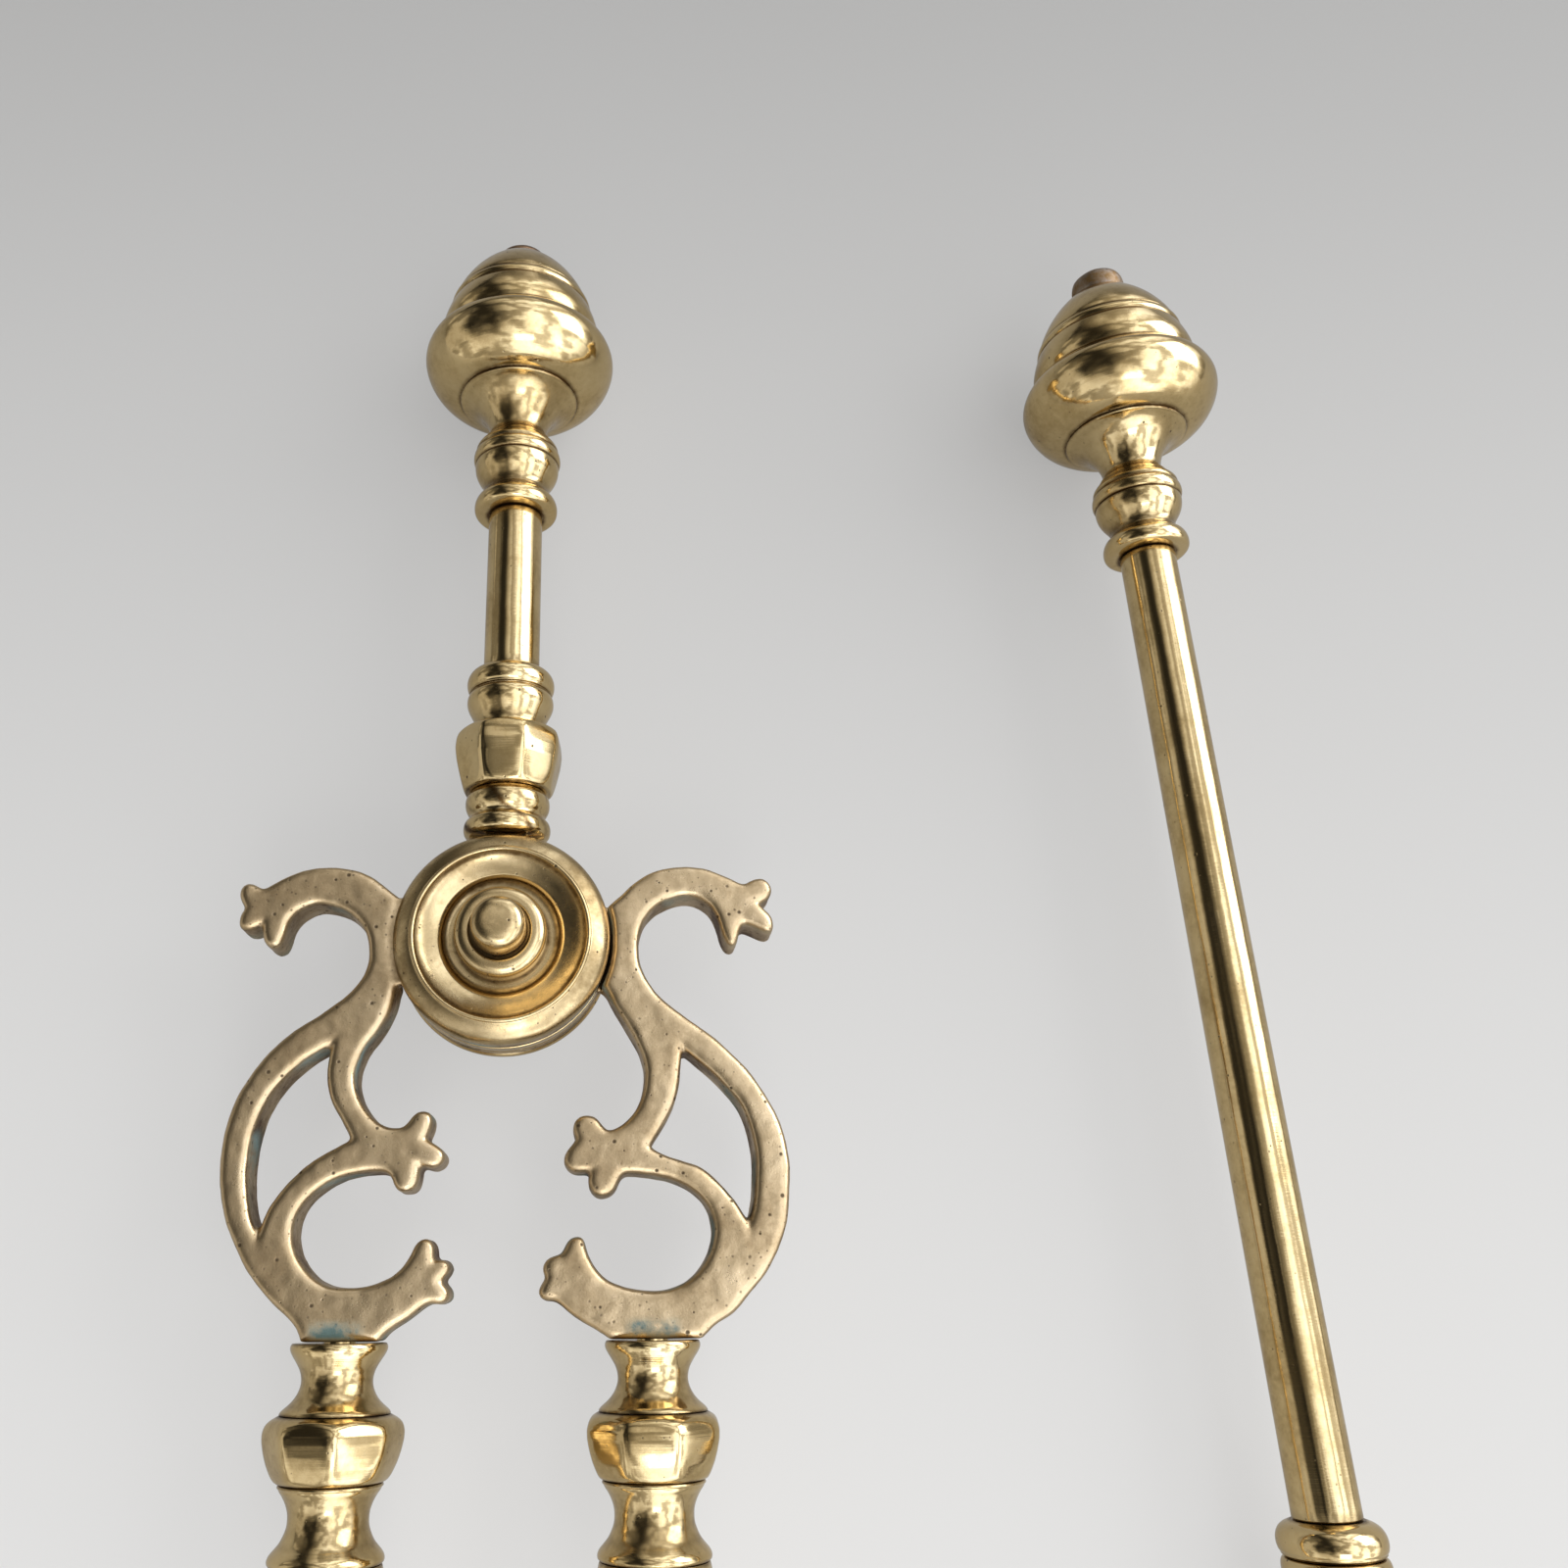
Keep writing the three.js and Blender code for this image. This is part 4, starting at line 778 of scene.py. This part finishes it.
def boss_neck(at):
    bm, line, closed = turn(BOSS_NECK)
    marks = line_marks(bm, line, closed, [(8.0, 20.3), (7.1, 24.1), (7.6, 29.2)])
    sides = circle(EYE_R, 64, 102.0, 438.0) + [(4.0, 21.0), (-4.0, 21.0)]
    plate = flat_curve("eye_plate", [sides, circle(EYE_BORE_R, 48)], PLATE_HALF, 0.15)
    bm.from_mesh(plate)
    bpy.data.meshes.remove(plate)
    for label in marks:
        marks[label] += [0.2] * (len(bm.verts) - len(marks[label]))
    finish("tongs_boss_neck", bm, BRASS, "tongs", ["tongs_boss_neck"], at, marks)


def leg(side, face):
    name, body = ("left", "left_leg") if side < 0 else ("right", "right_leg")
    at, x = tongs_place(), (LEG_X[0] if side < 0 else LEG_X[1])
    cast_arm(side)
    shift = (x, 0, 0)
    turned(name + "_socket_vase", SOCKET, body, at, shift=shift, seams=[(9.0, -78.35), (7.8, -67.5)])
    turned(name + "_leg_octagon", LEG_OCTAGON, body, at, shift=shift, steps=160, flats=LEG_FLATS, face=face,
           seams=[(9.0, -78.35), (8.5, -88.35)])
    turned(name + "_leg_vase", LEG_VASE, body, at, shift=shift, seams=[(8.5, -88.35), (9.0, -99.85)])
    turned(name + "_leg_knop", LEG_KNOP, body, at, shift=shift, seams=[(9.0, -99.85), (5.7, -113.4)])
    leg_rod(side)
    pad = [(r, PAD_GAP + t, *rest) for r, t, *rest in PAD]
    across = at @ Matrix.Translation((0, PAD_Y, 0)) @ (Matrix.Scale(-1, 4, (1, 0, 0)) if side < 0 else Matrix.Identity(4))
    turned(name + "_grip_pad", pad, body, across, axis="x", steps=128, step=0.8)


def poker():
    at = poker_place()
    shoulder = 20.3 - POKER_DROP + 0.3 - 0.1
    shaft = [(0.0, -499.0, 1), (1.2, -499.0, 1), (2.3, -497.4), (3.6, -484.0), (5.0, -470.0, 1), (5.0, shoulder, 1), (2.6, shoulder, 1),
             (2.6, 156.1, 1)] + BUTTON
    turned("poker_shaft", shaft, "poker", at, STEEL, steps=64, seams=[(5.0, shoulder)], hammer=0.1,
           darken_zone=(0.0, 150.0, 0.8))
    turned("poker_finial_bulb", BULB, "poker", at, steps=128, seams=BULB_LINES)
    turned("poker_finial_neck", NECK, "poker", at, seams=NECK_LINES)
    low = 55.4 - POKER_DROP
    turned("poker_handle_tube", tube(low, 90.8), "poker", at, seams=[(5.5, low), (5.5, 90.8)])
    turned("poker_lower_ring", lowered(RING, POKER_DROP), "poker", at, seams=[(7.8, 50.0 - POKER_DROP), (5.7, low)])
    turned("poker_lower_vase", lowered(VASE, POKER_DROP), "poker", at)
    flats = [(h - POKER_DROP, f) for h, f in OCTAGON_FLATS]
    turned("poker_lower_octagon", lowered(OCTAGON, POKER_DROP), "poker", at, steps=160, flats=flats, face=1.4)
    collar = [(max(r, 2.9), h - POKER_DROP + 0.3 * (h < 29.3), *rest) for r, h, *rest in BOSS_NECK[:-3]]
    collar += [(7.4, 28.8 - POKER_DROP, 1), (7.2, 29.2 - POKER_DROP, 1), (2.9, 29.2 - POKER_DROP, 1)]
    turned("poker_lower_collar", collar, "poker", at)


tongs_handle()
leg(-1, 1.78)
leg(1, 1.62)
poker()


# ---- floor, light and sky ------------------------------------------------------------------
# Floor: the paper darkens away from the near side, and its glow is painted light that washes out most shadows.
FLOOR_NEAR_Y, FLOOR_FAR_Y = -0.13, 0.60
PAPER_NEAR, PAPER_FAR = 0.22, 0.13
GLOW_NEAR, GLOW_FAR = 0.60, 0.23
GLOW_TO_METAL = 0.45
BACKDROP = 0.46
WARM_ROOM, DAYLIGHT = (1.0, 0.95, 0.86), (0.94, 1.0, 1.16)
PAPER_TINT = (1.06, 1.0, 0.87)
LEFT_WALL = 0.42


def floor():
    bm = bmesh.new()
    bmesh.ops.create_grid(bm, x_segments=1, y_segments=1, size=12.0)
    mesh = bpy.data.meshes.new("floor")
    bm.to_mesh(mesh)
    bm.free()
    slab = bpy.data.objects.new("floor", mesh)
    bpy.context.scene.collection.objects.link(slab)
    material = bpy.data.materials.new("floor paper")
    material.use_nodes = True
    tree = material.node_tree
    shader = tree.nodes["Principled BSDF"]
    shader.inputs["Roughness"].default_value = 0.9
    shader.inputs["Specular IOR Level"].default_value = 0.1
    place = node(tree, "ShaderNodeTexCoord", -800).outputs["Object"]
    split = node(tree, "ShaderNodeSeparateXYZ", -600)
    tree.links.new(place, split.inputs[0])
    fade = span(tree, split.outputs["Y"], FLOOR_NEAR_Y, FLOOR_FAR_Y)
    fade.node.interpolation_type = "SMOOTHSTEP"
    for near, far, tint, socket in ((PAPER_NEAR, PAPER_FAR, PAPER_TINT, "Base Color"),
                                    (GLOW_NEAR, GLOW_FAR, (1.0, 1.0, 1.0), "Emission Color")):
        ends = [tuple(level * part for part in tint) for level in (near, far)]
        tree.links.new(blend_colour(tree, fade, *ends), shader.inputs[socket])
    # Painted light: the floor glows less in what the metal reflects than for the camera.
    seen = node(tree, "ShaderNodeLightPath", -600, -300).outputs["Is Camera Ray"]
    tree.links.new(span(tree, seen, 0.0, 1.0, GLOW_TO_METAL, 1.0), shader.inputs["Emission Strength"])
    mesh.materials.append(material)


def softbox(name, at, towards, size, power, colour=(1, 1, 1)):
    data = bpy.data.lights.new(name, "AREA")
    data.shape, data.size, data.size_y = "RECTANGLE", size[0], size[1]
    data.energy, data.color = power, colour
    lamp = bpy.data.objects.new(name, data)
    bpy.context.scene.collection.objects.link(lamp)
    lamp.location = at
    lamp.rotation_euler = (Vector(towards) - Vector(at)).to_track_quat("-Z", "Y").to_euler()


def sky():
    """A plain room: dark to the left and overhead, pale low down, a bright wall on the right."""
    world = bpy.data.worlds.new("studio")
    bpy.context.scene.world = world
    world.use_nodes = True
    tree = world.node_tree
    tree.nodes.clear()
    way = node(tree, "ShaderNodeTexCoord", -900).outputs["Generated"]
    split = node(tree, "ShaderNodeSeparateXYZ", -700)
    tree.links.new(way, split.inputs[0])
    across = span(tree, split.outputs["X"], -0.42, 0.42, 0.06, 2.0)
    across = maths(tree, "MULTIPLY", across, span(tree, split.outputs["Z"], 0.0, 0.3, 0.18, 1.0))
    nearer = span(tree, split.outputs["Y"], -0.2, -0.8, 0.0, 0.75)
    level = maths(tree, "ADD", across, nearer)
    left_wall = maths(tree, "MULTIPLY", span(tree, split.outputs["X"], -0.55, -0.8, 0.0, LEFT_WALL),
                      span(tree, split.outputs["Z"], 0.55, 0.4))
    level = maths(tree, "ADD", level, left_wall)
    room_shapes = node(tree, "ShaderNodeTexNoise", -700, -300, Scale=2.6, Detail=3.0, Roughness=0.55)
    tree.links.new(way, room_shapes.inputs["Vector"])
    level = maths(tree, "MULTIPLY", level, span(tree, room_shapes.outputs["Fac"], 0.455, 0.54, 0.45, 1.25))
    room = node(tree, "ShaderNodeBackground", 0, 0)
    tint = blend_colour(tree, span(tree, level, 0.2, 1.4), WARM_ROOM, DAYLIGHT)
    seen = node(tree, "ShaderNodeLightPath", -300, 300).outputs["Is Camera Ray"]
    tree.links.new(blend_colour(tree, seen, tint, (1.0, 1.0, 1.0)), room.inputs["Color"])
    plain = node(tree, "ShaderNodeMix", -100, 200, A=0.0, B=BACKDROP)
    tree.links.new(seen, plain.inputs["Factor"])
    tree.links.new(level, plain.inputs["A"])
    tree.links.new(plain.outputs["Result"], room.inputs["Strength"])
    tree.links.new(room.outputs[0], node(tree, "ShaderNodeOutputWorld", 400).inputs["Surface"])


floor()
sky()
softbox("window", (0.80, 0.62, 0.52), (0.0, 0.2, 0.0), (0.8, 0.6), 5.0, (0.95, 1.0, 1.12))
softbox("lamp", (0.12, -0.75, 1.05), (0.0, 0.05, 0.0), (0.5, 0.35), 1.8, (0.97, 1.0, 1.06))
bpy.context.scene.view_settings.view_transform = "Standard"
